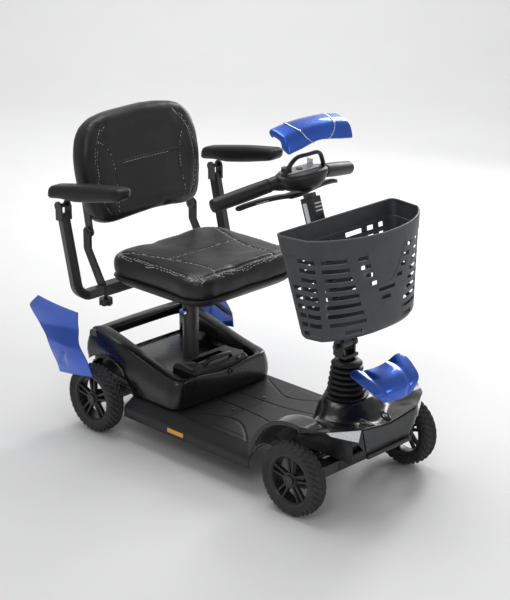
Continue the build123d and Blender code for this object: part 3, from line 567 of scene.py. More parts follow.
def inflate(obj, cap):
    """Swell a closed pad by cloth pressure. No point moves further than cap."""
    remesh = obj.modifiers.new("remesh", "REMESH")
    remesh.mode, remesh.voxel_size = "VOXEL", PAD_VOXEL
    apply_all(obj)
    start = [v.co.copy() for v in obj.data.vertices]
    cloth = obj.modifiers.new("cloth", "CLOTH")
    cloth.settings.quality = 4
    cloth.settings.mass = 0.5
    cloth.settings.tension_stiffness = cloth.settings.compression_stiffness = 40
    cloth.settings.bending_stiffness = 12
    cloth.settings.use_pressure = True
    cloth.settings.uniform_pressure_force = PAD_PRESSURE
    cloth.settings.effector_weights.gravity = 0
    cloth.point_cache.frame_start, cloth.point_cache.frame_end = 1, PAD_FRAMES
    for frame_number in range(1, PAD_FRAMES + 1):
        scene.frame_set(frame_number)
    graph = bpy.context.evaluated_depsgraph_get()
    swollen = [v.co.copy() for v in obj.evaluated_get(graph).data.vertices]
    obj.modifiers.clear()
    for vert, old, new in zip(obj.data.vertices, start, swollen):
        move = new - old
        vert.co = old + (move * (cap / move.length) if move.length > cap else move)
    scene.frame_set(1)
    smooth = obj.modifiers.new("smooth", "SMOOTH")
    smooth.factor, smooth.iterations = 0.5, 4
    finer = obj.modifiers.new("finer", "SUBSURF")
    finer.levels = finer.render_levels = 2
    apply_all(obj)
    obj.data.polygons.foreach_set("use_smooth", [True] * len(obj.data.polygons))


def reshape(obj, rule):
    """Move every vertex to rule(place, normal)."""
    mesh = obj.data
    normals = [v.normal.copy() for v in mesh.vertices]
    places = [rule(v.co.copy(), n) for v, n in zip(mesh.vertices, normals)]
    mesh.vertices.foreach_set("co", [c for p in places for c in p])
    mesh.update()


def surface_of(obj):
    """A search tree over an object's mesh."""
    return BVHTree.FromPolygons([v.co for v in obj.data.vertices], [p.vertices for p in obj.data.polygons])


def sheet_tree(rows):
    """A search tree over a sheet given as rows of points."""
    sheet = Shape().grid(rows)
    return BVHTree.FromPolygons([Vector(v) for v in sheet.verts], sheet.faces)


def onto(tree, points, direction):
    """Drop points onto a surface along direction: (place, normal) of each hit."""
    hits = [tree.ray_cast(Vector(p), Vector(direction)) for p in points]
    return [(h[0], h[1]) for h in hits if h[0] is not None]


def press_seam(obj, hits, width, depth):
    """Pull the surface in along a line of hits, as a sewn seam does."""
    near = KDTree(len(hits))
    for i, (place, _) in enumerate(hits):
        near.insert(place, i)
    near.balance()

    def pulled(place, normal):
        _, i, gap = near.find(place)
        if gap < width * 2.5 and normal.dot(hits[i][1]) > 0.1:
            place -= hits[i][1] * depth * bell(gap, width)
        return place

    reshape(obj, pulled)


STITCH_LENGTH, STITCH_GAP, THREAD_R = 0.0052, 0.0028, 0.00065


def stitches(shape, hits, aside):
    """Thread stitches along a line of hits, shifted aside within the surface."""
    line = []
    for i, (place, normal) in enumerate(hits):
        along = (hits[min(i + 1, len(hits) - 1)][0] - hits[max(i - 1, 0)][0]).normalized()
        line.append((place + along.cross(normal).normalized() * aside, normal))
    walked, last = 0.0, line[0][0]
    start = None
    for place, normal in line[1:]:
        walked += (place - last).length
        last = place
        if start is None and walked >= STITCH_GAP:
            start, walked = place, 0.0
        elif start is not None and walked >= STITCH_LENGTH:
            lift = normal * THREAD_R * 0.5
            middle = (start + place) / 2 + lift * 1.6
            shape.tube([start - lift, start.lerp(middle, 0.5) + lift * 0.5, middle,
                        middle.lerp(place, 0.5) + lift * 0.5, place - lift], THREAD_R, 6)
            start, walked = None, 0.0
    return shape


# ---- seat --------------------------------------------------------------------------------
SEAM_WIDTH, SEAM_DEPTH = 0.0035, 0.0022
SEAT_HALF = 0.210
SEAT_FRONT, SEAT_BACK = -0.060, 0.330
SEAT_LOW, SEAT_TOP = 0.4683, 0.537
SEAT_MID_Y = (SEAT_FRONT + SEAT_BACK) / 2
seat_thread, back_thread = Shape(), Shape()

seat_half_y = (SEAT_BACK - SEAT_FRONT) / 2
seat_plan = []
for u, v in rounded(SEAT_HALF - 0.004, seat_half_y - 0.004, 0.062, 8):
    bow = 0.010 * (1 - (u / SEAT_HALF) ** 2) if v < 0 else 0.004 * (1 - (u / SEAT_HALF) ** 2)
    seat_plan.append((u, v * (1 - 0.012 * (1 - abs(u) / SEAT_HALF)) - (bow - 0.010 if v < 0 else -bow) * 0.6))
cushion_shape = Shape().slab(
    seat_plan, lambda u, v, h: (u, SEAT_MID_Y + v, SEAT_LOW + 0.0012 + h),
    [(0, 0.010), (0.002, 0.005), (0.010, 0.002), (0.030, 0.0), (0.046, 0.0005), (0.054, 0.006),
     (0.058, 0.017), (0.060, 0.05)])
cushion = piece("seat_cushion_leather", cushion_shape, "seat", "leather", ["seat_cushion"])
inflate(cushion, 0.009)


def sat_on(place, normal):
    """The seat's shallow dish, rolled front edge and soft wrinkles."""
    x, y = place.x, place.y - SEAT_MID_Y
    if place.z > SEAT_LOW + 0.045:
        dish = bell(x, 0.085) * ease(-0.17, 0.0, y) * 0.0045
        roll = bell(y + 0.135, 0.06) * 0.0024 * (1 - (x / SEAT_HALF) ** 2)
        place.z = place.z - dish + roll
    place += normal * (noise.noise(Vector((x * 14, y * 9, 3.0))) * 0.0011
                       + noise.noise(Vector((x * 34, y * 30, 7.0))) * 0.0005)
    place.z = max(SEAT_LOW + 0.001, min(SEAT_TOP + 0.003, place.z))
    return place


reshape(cushion, sat_on)
seat_tree = surface_of(cushion)
DOWN = (0, 0, -1)
border = [(u, SEAT_MID_Y + v, 0.7) for u, v in inset(seat_plan, 0.026)]
seams = [(through(border, 0.003, closed=True), (0.0035, -0.0035))]
for _, side in SIDES:
    seams.append((through([(side * 0.176, SEAT_BACK - 0.022, 0.7), (side * 0.150, SEAT_MID_Y + 0.085, 0.7),
                           (side * 0.118, SEAT_MID_Y - 0.02, 0.7), (side * 0.104, SEAT_MID_Y - 0.10, 0.7),
                           (side * 0.112, SEAT_FRONT + 0.030, 0.7)], 0.003), (0.003,)))
seams.append((through([(-0.126, SEAT_MID_Y + 0.006, 0.7), (0, SEAT_MID_Y + 0.012, 0.7),
                       (0.126, SEAT_MID_Y + 0.006, 0.7)], 0.003), (0.003,)))
for line, rows in seams:
    press_seam(cushion, onto(seat_tree, line, DOWN), SEAM_WIDTH, SEAM_DEPTH)
seat_tree = surface_of(cushion)
for line, rows in seams:
    hits = onto(seat_tree, line, DOWN)
    for aside in rows:
        stitches(seat_thread, onto(seat_tree, [p + n * 0.02 for p, n in hits], DOWN), aside)
piece("seat_stitching", seat_thread, "seat", "thread")

# tapered tray under the cushion
tray = Shape().loft(
    [[(u * (SEAT_HALF - d) / SEAT_HALF, SEAT_MID_Y + v * (SEAT_HALF - d) / SEAT_HALF, z)
      for u, v in seat_plan]
     for z, d in ((0.4385, 0.070), (0.4385, 0.050), (0.4395, 0.044), (0.4440, 0.032), (0.4520, 0.018),
                  (0.4610, 0.008), (0.4690, 0.004), (0.4720, 0.006))])
piece("seat_tray", tray, "seat", "leather", ["seat_pan"], angle=60)

# ---- backrest ----------------------------------------------------------------------------
BACK_HINGE = Vector((0, 0.392, 0.575))
RECLINE = math.radians(10)
BACK_UP = Vector((0, math.sin(RECLINE), math.cos(RECLINE)))
BACK_OUT = Vector((0, -math.cos(RECLINE), math.sin(RECLINE)))
BACK_START = 0.019              # the cushion's lower edge, up from the hinge
BACK_REAR, BACK_FRONT = 0.0145, 0.064
BACK_WRAP = -0.0155             # the cover wraps round the frame's uprights


def on_back(x, up, out):
    """A point of the backrest: across, up from the hinge line and out towards the rider."""
    return BACK_HINGE + Vector((x, 0, 0)) + BACK_UP * up + BACK_OUT * out


back_half = [(0.0, -0.002), (0.080, -0.004), (0.155, -0.002), (0.193, 0.020), (0.211, 0.080), (0.219, 0.140),
             (0.217, 0.190), (0.204, 0.242), (0.172, 0.281), (0.110, 0.302), (0.0, 0.308)]
back_plan = [(p.x, p.y) for p in through([(u, v + BACK_START - 0.002, 0) for u, v in back_half]
                                         + [(-u, v + BACK_START - 0.002, 0) for u, v in back_half[-2:0:-1]],
                                         0.012, closed=True)]
back_shape = Shape().slab(back_plan, lambda u, v, h: on_back(u, v, BACK_WRAP + h),
                          [(0, 0.020), (0.003, 0.010), (0.012, 0.002), (0.030, 0.0), (0.052, 0.0),
                           (0.062, 0.004), (0.068, 0.011), (0.0705, 0.021), (0.071, 0.05)])
backrest = piece("backrest_leather", back_shape, "backrest", "leather", ["backrest_cushion"])
inflate(backrest, 0.008)


def leaned_on(place, normal):
    """The backrest's hollow middle and soft wrinkles."""
    away = place - BACK_HINGE
    x, up, out = away.x, away.dot(BACK_UP), away.dot(BACK_OUT)
    if out > BACK_REAR + 0.030:
        hollow = 0.010 * bell(x, 0.12) * ease(BACK_START + 0.01, BACK_START + 0.05, up)
        hollow *= 1 - ease(BACK_START + 0.22, BACK_START + 0.30, up)
        place -= BACK_OUT * max(hollow, out - BACK_FRONT - 0.003)
    return place + normal * (noise.noise(Vector((x * 12, up * 10, 9.0))) * 0.0011
                             + noise.noise(Vector((x * 33, up * 33, 1.0))) * 0.0005)


reshape(backrest, leaned_on)
back_seams = []
for _, side in SIDES:
    edge = [(0.150, 0.026), (0.168, 0.060), (0.180, 0.125), (0.178, 0.185), (0.160, 0.235), (0.128, 0.272)]
    bolster = [(0.128, 0.020), (0.122, 0.080), (0.122, 0.150), (0.138, 0.200), (0.168, 0.228)]
    for seam, asides in ((edge, (0.0035, -0.0035)), (bolster, (0.003,))):
        curve = through([(u, v, 0) for u, v in seam], 0.003)
        back_seams.append(([on_back(side * p.x, p.y + BACK_START, 0.2) for p in curve], asides))
back_seams.append(([on_back(x, BACK_START + 0.158, 0.2) for x in spread(-0.122, 0.122, 90)], (0.003,)))
back_tree = surface_of(backrest)
for line, rows in back_seams:
    press_seam(backrest, onto(back_tree, line, -BACK_OUT), SEAM_WIDTH, SEAM_DEPTH)
back_tree = surface_of(backrest)
for line, rows in back_seams:
    for aside in rows:
        stitches(back_thread, onto(back_tree, line, -BACK_OUT), aside)
piece("backrest_stitching", back_thread, "backrest", "thread")


# ---- front fairing -----------------------------------------------------------------------
AXLE_Z = WHEEL_R
FENDER_R, LINER_R = 0.158, 0.147
HOOD_BACK, HOOD_HALF = -0.262, 0.228
NOSE_TOP, NOSE_LOW = 0.262, 0.222


def corner_line(x):
    """How far forward the fairing reaches at x, with straight runs between its corners."""
    a = abs(x)
    if a < 0.110:
        return -0.545 - 0.003 * a / 0.110
    if a < 0.190:
        return mix(-0.548, -0.500, (a - 0.110) / 0.080)
    return mix(-0.500, -0.440, (a - 0.190) / 0.038)


def front_line(x):
    """The same line with its corners rounded."""
    reach = [corner_line(min(HOOD_HALF, max(-HOOD_HALF, x + d))) for d in (-0.012, -0.006, 0, 0.006, 0.012)]
    return sum(reach) / 5


def hood_z(x, y):
    """Height of the fairing: fenders over the wheels and a cone under the tiller."""
    a, ahead = abs(x), -y
    arch = AXLE_Z + math.sqrt(max(0.0, FENDER_R ** 2 - (y - FRONT_Y) ** 2))
    arch = mix(arch, 0.246, ease(0.455, 0.500, ahead))
    valley = DECK_Z + 0.001 + 0.096 * ease(0.288, 0.395, ahead)
    valley += 0.019 * ease(0.47, 0.548, ahead) * min(1, a / 0.11)
    height = mix(valley, arch, ease(0.112, 0.176, a))
    r = math.hypot(x, y - COLUMN_Y)
    behind = ease(-0.2, 0.9, (y - COLUMN_Y) / max(r, 0.001))
    cone = NOSE_TOP - ease(0.056, 0.118, r) * mix(NOSE_TOP - NOSE_LOW, 0.145, behind)
    gap = height - cone
    height = (height + cone + math.sqrt(gap * gap + 0.00016)) / 2 - 0.003
    bowl = 0.012 * bell(x, 0.070) * ease(0.447, 0.475, ahead) * (1 - ease(0.522, 0.545, ahead))
    return max(DECK_Z + 0.001, height - bowl)


def face_foot(x):
    """Lower edge of the fairing's front face at x."""
    a = abs(x)
    if a < 0.085:
        return 0.167
    if a < 0.112:
        return mix(0.167, 0.196, (a - 0.085) / 0.027)
    return mix(0.196, 0.237, min(1, (a - 0.112) / 0.078))


HOOD_ROWS, HOOD_COLUMNS, FACE_ROWS = 60, 92, 8
FACE_RAKE = 0.005               # how far the front face leans back down to its foot
hood_rows = []
for r in range(HOOD_ROWS + 1):
    row = []
    for x in spread(-HOOD_HALF, HOOD_HALF, HOOD_COLUMNS):
        y = mix(HOOD_BACK, front_line(x), r / HOOD_ROWS)
        row.append((x, y, hood_z(x, y)))
    lips = []
    for x, y, z in (row[0], row[-1]):
        lips.append((x, y, z - mix(0.012, 0.030, ease(-0.33, -0.27, y))))
    hood_rows.append([lips[0]] + row + [lips[1]])
crest = hood_rows[-1]
for r in range(1, FACE_ROWS + 1):
    t = r / FACE_ROWS
    hood_rows.append([(x, y + FACE_RAKE * t, mix(z, min(z - 0.004, face_foot(x)), t)) for x, y, z in crest])
piece("front_fairing_shell", Shape().grid(hood_rows), "chassis", "shell",
      ["front_fairing"], thick=0.003, bevel=0.0025, angle=30)

# inner walls of the wheel wells, bumper strip and the cover over the axle's middle
wells = Shape()
for _, side in SIDES:
    wall = [(side * 0.1185, y, z) for y in (-0.31, -0.36, -0.418, -0.47, -0.525)
            for z in (hood_z(0.118, y) - 0.003, 0.140)]
    wells.grid([wall[i:i + 2] for i in range(0, 10, 2)])
    liner = []
    for t in range(84, 166, 6):
        y, z = FRONT_Y - LINER_R * math.cos(math.radians(t)), AXLE_Z + LINER_R * math.sin(math.radians(t))
        liner.append([(side * x, y, min(z, hood_z(x, y) - 0.004)) for x in (0.119, 0.150, 0.185, 0.216)])
    wells.grid(liner)
piece("wheel_well_liners", wells, "chassis", "plastic", thick=0.002, offset=0)

strip = Shape().slab(rounded(0.086, 0.006, 0.004), lambda u, v, h: (u, -0.546 + v, 0.1505 + h),
                     soft_edges(0.013, 0.003))
piece("bumper_strip", strip, "chassis", "plastic")

axle_cover = Shape().slab(rounded(0.021, 0.017, 0.008), lambda u, v, h: (-0.070 + h, FRONT_Y + u, 0.090 + v),
                          soft_edges(0.140, 0.006))
piece("axle_cover", axle_cover, "chassis", "steel")

chin_rows = []
for t in spread(0, 1, 8):
    half = mix(0.106, 0.084, t)
    chin_rows.append([(x, front_line(x) + FACE_RAKE * t - 0.0012,
                       mix(hood_z(x, front_line(x)) - 0.004, 0.1665, t))
                      for x in spread(-half, half, 30)])
piece("chin_panel", Shape().grid(chin_rows), "chassis", "chin", thick=0.0015, offset=1)

lens = Shape()
for _, side in SIDES:
    face = [(side * 0.190, -0.5015, 0.2425), (side * 0.112, -0.5485, 0.2395),
            (side * 0.1165, -0.544, 0.2060), (side * 0.180, -0.5065, 0.2310)]
    back = [(x * 0.99, y + 0.004, z) for x, y, z in face]
    lens.loft([back, face] if side > 0 else [back[::-1], face[::-1]])
piece("front_reflector_lenses", lens, "chassis", "white_lens", ["front_reflectors"],
      offset=1, bevel=0.0008)

hood_tree = sheet_tree(hood_rows)
# Each vent slot gets a rim and a flat matte black disc. The disc is painted shade for the dark inside of the
# slot, because the hood under it is not cut.
vents, vent_shade_sheet = Shape(), Shape()
for _, side in SIDES:
    loop = [(side * 0.036 + 0.0085 * math.cos(t) + 0.006 * side * math.sin(t),
             -0.502 + 0.019 * math.sin(t), 0.4)
            for t in full_turn(36)]
    rim_hits = onto(hood_tree, loop, (0, 0, -1))
    ring = [p + Vector((0, 0, 0.001)) for p, _ in rim_hits]
    vents.tube(ring + ring[:2], 0.0022, 10)
    vent_shade_sheet.add([p + Vector((0, 0, 0.0004)) for p, _ in rim_hits], [tuple(range(36))])
piece("vent_rims", vents, "chassis", "shell")
piece("vent_painted_shade", vent_shade_sheet, "chassis", "soft", thick=0.0005, offset=1)


# ---- deck --------------------------------------------------------------------------------
DECK_FRONT, DECK_BACK = -0.258, 0.232
GROOVES = [[(side * x, y) for x, y in line] for _, side in SIDES for line in (
    [(0.165, 0.046), (0.133, -0.014), (0.106, -0.078), (0.122, -0.135), (0.184, -0.212)],
    [(0.036, 0.052), (0.039, -0.040), (0.042, -0.090), (0.048, -0.142), (0.075, -0.245)])]
groove_points = [p for line in GROOVES for p in through([(x, y, 0) for x, y in line], 0.0015)]
groove_tree = KDTree(len(groove_points))
for i, p in enumerate(groove_points):
    groove_tree.insert(p, i)
groove_tree.balance()


def deck_z(x, y):
    """Deck height with its moulded grooves and a slightly raised field for the feet."""
    _, _, gap = groove_tree.find((x, y, 0))
    lifted = 0.0008 * ease(0, 0.004, 0.170 - abs(x)) * ease(0, 0.004, 0.080 - abs(y + 0.140))
    return DECK_Z + lifted - 0.0022 * bell(gap, 0.0022)


deck_rows = []
edge = [(0.223, 0.0745), (0.223, 0.1000), (0.2215, 0.1045), (0.2180, 0.1085), (0.1890, 0.1258)]
flat = spread(-0.1845, 0.1845, 150)
for y in spread(DECK_FRONT, DECK_BACK, 185):
    deck_rows.append([(-x, y, z) for x, z in edge] + [(x, y, deck_z(x, y)) for x in flat]
                     + [(x, y, z) for x, z in reversed(edge)])
piece("deck_moulding", Shape().grid(deck_rows), "chassis", "deck", ["floor_pan"],
      thick=0.0035, angle=60)

side_lens = Shape()
for _, side in SIDES:
    side_lens.slab(rounded(0.031, 0.0062, 0.002),
                   lambda u, v, h: (side * (0.2233 + h), 0.020 + side * u, 0.091 + v),
                   soft_edges(0.0035, 0.001))
piece("side_reflector_lenses", side_lens, "chassis", "amber_lens", ["side_reflectors"])


# ---- rear shroud -------------------------------------------------------------------------
WELL_FLOOR = 0.186
ARCH_R = 0.113


def rim_z(y):
    """Height of the shroud's upper rim, rising to the rear."""
    return 0.208 + 0.073 * ease(0.02, 0.47, y) * 1.12


def foot_z(x, y):
    """Lower edge of the shroud's wall: the deck, or the wheel arch."""
    reach = ARCH_R ** 2 - (y - REAR_Y) ** 2
    if abs(x) < 0.15 or reach <= 0:
        return DECK_Z
    return max(DECK_Z, AXLE_Z + math.sqrt(reach))


outer_half = [(0.1895, y) for y in spread(0.418, 0.090, 44)]
outer_half += [(0.1535 + u, 0.090 - v) for u, v in arc((0, 0), 0.036, 0, 90, 12)][1:]
outer_half += [(mix(0.1535, 0.0, i / 20), mix(0.054, 0.0525, i / 20)) for i in range(1, 21)]
inner_half = [(0.139, y) for y in spread(0.390, 0.088, 44)]
inner_half += [(0.117 + u, 0.088 - v) for u, v in arc((0, 0), 0.022, 0, 90, 12)][1:]
inner_half += [(x, 0.066) for x in spread(0.117, 0.0, 20)[1:]]
WALL = [(0.0, 0.0), (-0.02, 0.10), (-0.07, 0.30), (-0.05, 0.50), (0.02, 0.66), (0.10, 0.80), (0.17, 0.90),
        (0.26, 0.965), (0.38, 0.995), (0.55, 1.0), (0.88, 0.99), (0.97, 0.965), (1.0, 0.91), (1.01, 0.80)]
shroud_rows = []
for (ox, oy), (ix, iy) in zip(outer_half, inner_half):
    top = rim_z((oy + iy) / 2) - 0.012 * bell(ox, 0.085) * (oy < 0.07)
    low = foot_z(ox, oy)
    row = []
    for across, up in WALL:
        x, y = mix(ox, ix, across), mix(oy, iy, across)
        z = mix(low, top, up)
        crest = 0.006 * bell(y - 0.242 + (z - 0.204) * 0.55, 0.016) * (ox > 0.18) * bell(z - 0.175, 0.040)
        row.append((x + crest, y, z))
    row.append((ix * 1.01, iy + 0.001, WELL_FLOOR))
    shroud_rows.append(row)
shroud = Shape()
shroud.grid(shroud_rows + [[(-x, y, z) for x, y, z in row] for row in reversed(shroud_rows[:-1])])
shroud.grid([[(x, y, WELL_FLOOR + 0.0006) for x in spread(-0.139, 0.139, 24)]
             for y in spread(0.066, 0.392, 20)])
shroud.grid([[(0.189 * u, 0.418 - 0.024 * bell(z - 0.196, 0.010) - 0.010 * abs(u) ** 6, z)
              for u in spread(-1, 1, 40)] for z in (DECK_Z, 0.150, 0.172, 0.184, 0.190)])
INNER_ARCH_X, INNER_ARCH_Z = 0.168, 0.140
for _, side in SIDES:
    shroud.grid([[(side * INNER_ARCH_X, y, z) for y in spread(0.236, 0.417, 24)]
                 for z in (INNER_ARCH_Z - 0.008, INNER_ARCH_Z)])
    shroud.grid([[(side * INNER_ARCH_X, y, mix(INNER_ARCH_Z, foot_z(0.19, y) + 0.003, k / 3))
                  for y in spread(0.240, 0.417, 24)] for k in range(4)])
piece("rear_shroud_shell", shroud, "chassis", "shell", ["rear_shroud"], thick=0.0025,
      angle=46)

BAR_HALF = 0.186
carry = Shape()
bar_rings = []
for x in spread(-BAR_HALF, BAR_HALF, 40):
    crown = 1 - (abs(x) / BAR_HALF) ** 2.4
    end = ease(0.110, BAR_HALF, abs(x))
    bar_z = 0.2625 + 0.003 * crown - 0.004 * end
    bar_rings.append([(x, 0.400 + u * mix(1, 0.9, end), bar_z + v * mix(1, 1.25, end))
                      for u, v in rounded(0.0175, 0.0165, 0.010, 5)])
carry.loft(bar_rings)
piece("rear_carry_bar", carry, "chassis", "shell", angle=60)

# pale three-cornered pads either side of the battery, and its recessed handle
facets, pack_top = Shape(), Shape()
for _, side in SIDES:
    tri = [(side * 0.104, 0.086, 0.2225), (side * 0.060, 0.060, 0.2180), (side * 0.058, 0.128, 0.2230),
           (side * 0.092, 0.150, 0.2228)]
    facets.loft([[(x, y, z - 0.004) for x, y, z in tri][::side], tri[::side]])
piece("battery_side_pads", facets, "battery", "chin", bevel=0.0015)
low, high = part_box("battery_pack")
grip = through([(-0.052, low.y + 0.020, high.z - 0.004), (-0.040, low.y + 0.014, high.z + 0.012),
                (0, low.y + 0.011, high.z + 0.016), (0.040, low.y + 0.014, high.z + 0.012),
                (0.052, low.y + 0.020, high.z - 0.004)], 0.004)
pack_top.tube(grip, 0.0065, 12)
piece("battery_grip", pack_top, "battery", "plastic")

tails = Shape()
for _, side in SIDES:
    tails.slab(rounded(0.022, 0.011, 0.004), lambda u, v, h: (side * 0.150 - u, 0.4185 + h, 0.168 + v),
               soft_edges(0.004, 0.0015))
piece("rear_reflector_lenses", tails, "chassis", "red_lens")


# ---- wheels ------------------------------------------------------------------------------
TREAD_BLOCKS = 34
SPOKES = 5


def tyre_shape(x, y):
    """Pneumatic tyre: round shoulders and two rows of slanted blocks."""
    shape = Shape()
    half = TYRE_W / 2
    profile = [(-0.016, 0.0675), (-0.0205, 0.0700), (-0.0235, 0.0760), (-half, 0.0830), (-0.0238, 0.0890),
               (-0.0200, 0.0930), (-0.0165, 0.0952), (-0.0120, 0.0966), (-0.0085, 0.0974), (-0.0050, 0.0980),
               (-0.0015, 0.0983), (0.0015, 0.0983), (0.0050, 0.0980), (0.0085, 0.0974), (0.0120, 0.0966),
               (0.0165, 0.0952), (0.0200, 0.0930), (0.0238, 0.0890), (half, 0.0830), (0.0235, 0.0760),
               (0.0205, 0.0700), (0.016, 0.0675)]

    def knobs(turn, along, radius):
        if radius < 0.0885:
            return 0.0
        phase = turn * TREAD_BLOCKS / math.tau + abs(along) * 62 + (0.5 if along > 0 else 0)
        wide = phase % 1.0
        block = ease(0.14, 0.22, wide) * (1 - ease(0.78, 0.86, wide))
        row = ease(0.0012, 0.0040, abs(along)) * (1 - 0.75 * bell(abs(along) - 0.0105, 0.0020))
        return 0.0052 * block * row - 0.0036

    centre = (x, y, WHEEL_R)
    shape.lathe(profile, centre, (1, 0, 0), TREAD_BLOCKS * 14, knobs)
    for flank in (-1, 1):
        for radius in (0.0790, 0.0862):
            ring = [(x + flank * (half - 0.0008), y + radius * math.cos(t), WHEEL_R + radius * math.sin(t))
                    for t in full_turn(90, 2)]
            shape.tube(ring, 0.0008, 6)
    return shape


def rim_shape(x, y, side):
    """Rim ring, hub with a cap, and five pairs of spokes."""
    shape = Shape()
    centre = (x, y, WHEEL_R)
    shape.lathe([(-0.020, 0.0625), (-0.020, 0.0685), (-0.018, 0.0700), (-0.014, 0.0690), (0.014, 0.0690),
                 (0.018, 0.0705), (0.0205, 0.0700), (0.0205, 0.0660), (0.0170, 0.0620), (0.0140, 0.0600),
                 (-0.014, 0.0600)], centre, (side, 0, 0), 96)
    shape.lathe([(-0.018, 0.0085), (-0.018, 0.0200), (0.010, 0.0215), (0.0145, 0.0215), (0.0165, 0.0200),
                 (0.0165, 0.0150), (0.0200, 0.0145), (0.0215, 0.0130), (0.0215, 0.0004), (-0.012, 0.0004),
                 (-0.012, 0.0085)], centre, (side, 0, 0), 64)
    for k in range(SPOKES):
        for lean_by in (-1, 1):
            turn = Matrix.Rotation(math.tau * k / SPOKES + 0.3, 3, "X")
            rings = []
            for t in spread(0, 1, 8):
                radius = mix(0.017, 0.0635, t)
                aside = lean_by * mix(0.0052, 0.0105, t)
                thick = mix(0.0042, 0.0034, t)
                face = mix(0.0130, 0.0150, t)
                rings.append([Vector(centre) + turn @ Vector((side * (face - 0.006 + v), radius, aside + u))
                              for u, v in rounded(thick, 0.0062, 0.0022, 3)])
            shape.loft(rings)
    return shape


for place_name, half_track, wheel_y in (("front", FRONT_X, FRONT_Y), ("rear", REAR_X, REAR_Y)):
    for side_name, side in SIDES:
        body = f"wheel_{place_name}_{side_name}"
        piece(f"tyre_{place_name}_{side_name}_tread", tyre_shape(side * half_track, wheel_y), body,
              "tyre", [f"tyre_{place_name}_{side_name}"], angle=50)
        piece(f"rim_{place_name}_{side_name}_cast", rim_shape(side * half_track, wheel_y, side), body,
              "rim", [f"rim_{place_name}_{side_name}"], angle=34)


# ---- basket ------------------------------------------------------------------------------
BASKET_LEVELS = (0.475, 0.737)
BASKET_LOW, BASKET_HIGH = (0.188, -0.405, -0.518), (0.220, -0.349, -0.530)
BASKET_WALL, BASKET_CORNER = 0.004, 0.018
FRONT_ARC = math.radians(62)    # half the angle of the bowed front
SLOT_TOP, SLOT_PITCH, SLOT_H, SLOT_ROWS = 0.688, 0.0238, 0.0120, 9


def basket_line(size):
    """Plan outline with corresponding points at every height, as (x, y, part, share)."""
    half, back, front = size
    side_y = back - (back - front) * 0.52
    corner_x, corner_y, front_x = half - BASKET_CORNER, back - BASKET_CORNER, half * 0.955
    quarter = spread(0, math.pi / 2, 5)[1:-1]
    line = [(corner_x * u, back, "back", u) for u in spread(1, -1, 60)]
    line += [(-corner_x - BASKET_CORNER * math.sin(t), corner_y + BASKET_CORNER * math.cos(t), "corner", 0)
             for t in quarter]
    line += [(mix(-half, -front_x, t), mix(corner_y, side_y, t), "near", t) for t in spread(0, 1, 30)]
    for u in spread(-1, 1, 96)[1:-1]:
        bow = (math.cos(u * FRONT_ARC) - math.cos(FRONT_ARC)) / (1 - math.cos(FRONT_ARC))
        line.append((front_x * math.sin(u * FRONT_ARC) / math.sin(FRONT_ARC),
                     side_y - (side_y - front) * bow, "front", u))
    line += [(mix(front_x, half, t), mix(side_y, corner_y, t), "far", 1 - t) for t in spread(0, 1, 30)]
    line += [(corner_x + BASKET_CORNER * math.cos(t), corner_y + BASKET_CORNER * math.sin(t), "corner", 0)
             for t in quarter]
    return line


basket_top_line, basket_low_line = basket_line(BASKET_HIGH), basket_line(BASKET_LOW)
levels_z = [BASKET_LEVELS[1], 0.7355, 0.720, 0.698, 0.6965, 0.6945, 0.690]
for k in range(SLOT_ROWS):
    z = SLOT_TOP - SLOT_PITCH * k
    levels_z += [z, z - SLOT_H, z - SLOT_H - (SLOT_PITCH - SLOT_H) / 2]
levels_z += [0.4805, 0.4765, BASKET_LEVELS[0]]
levels_z = sorted(set(round(z, 5) for z in levels_z), reverse=True)


def centre_panel(z):
    """Half width, as a share of the front, of the smooth panel that narrows downwards."""
    return 0.30 * math.sqrt(max(0.0, (z - 0.600) / 0.100))


def is_slot(part, u, z_high):
    """True where the wall is open, in the slot row that starts at z_high."""
    row = (SLOT_TOP - z_high) / SLOT_PITCH
    if abs(row - round(row)) > 0.02 or not 0 <= round(row) < SLOT_ROWS:
        return False
    row = round(row)
    if part == "front":
        edge = centre_panel(z_high)
        a = abs(u)
        if row < 4 and edge + 0.03 < a < edge + 0.14:
            return True
        if row in (4, 5) and a < 0.13 - 0.05 * (row - 4):
            return True
        if row == 8:
            return 0.36 < a < 0.62
        return 0.56 - 0.036 * row < a < 0.86 - 0.004 * row or (a > 0.955 and row < 8)
    if part in ("near", "far"):
        return (0.04 < u < 0.42 and row > 2) or (u > 0.52 and row < 8)
    if part == "back":
        a = abs(u)
        return row in (0, 1, 2, 4, 5, 6) and (0.14 < a < 0.48 or 0.58 < a < 0.72 or 0.80 < a < 0.92)
    return False


def wall_rows(outwards):
    """The basket's wall as rows from its rim down, moved outwards by a distance."""
    rows = []
    for z in levels_z:
        t = (z - BASKET_LEVELS[0]) / (BASKET_LEVELS[1] - BASKET_LEVELS[0])
        foot = 0.006 * (1 - ease(0.0, 0.008, z - BASKET_LEVELS[0]))
        out = outwards + (0.0018 if z > 0.6955 else 0.0) - foot
        row = []
        for (hx, hy, _, _), (lx, ly, _, _) in zip(basket_top_line, basket_low_line):
            x, y = mix(lx, hx, t), mix(ly, hy, t)
            away = Vector((x, y + 0.44)).normalized()
            row.append((x + away.x * out, y + away.y * out, z))
        rows.append(row)
    return rows


wall_points = wall_rows(-0.0015)
parts = [(p[2], p[3]) for p in basket_top_line]
basket_shape = Shape()
basket_shape.grid(wall_points, ring=True, hole=lambda r, c: is_slot(parts[c][0], parts[c][1], levels_z[r]))
basket_shape.grid([[(mix(0, x, t), mix(-0.460, y, t), BASKET_LEVELS[0]) for x, y, _ in wall_points[-1]]
                   for t in (1.0, 0.7, 0.4, 0.02)], ring=True)
piece("basket_moulding", basket_shape, "basket", "basket", ["basket"],
      thick=BASKET_WALL - 0.0006, offset=1, bevel=0.0009, angle=30)

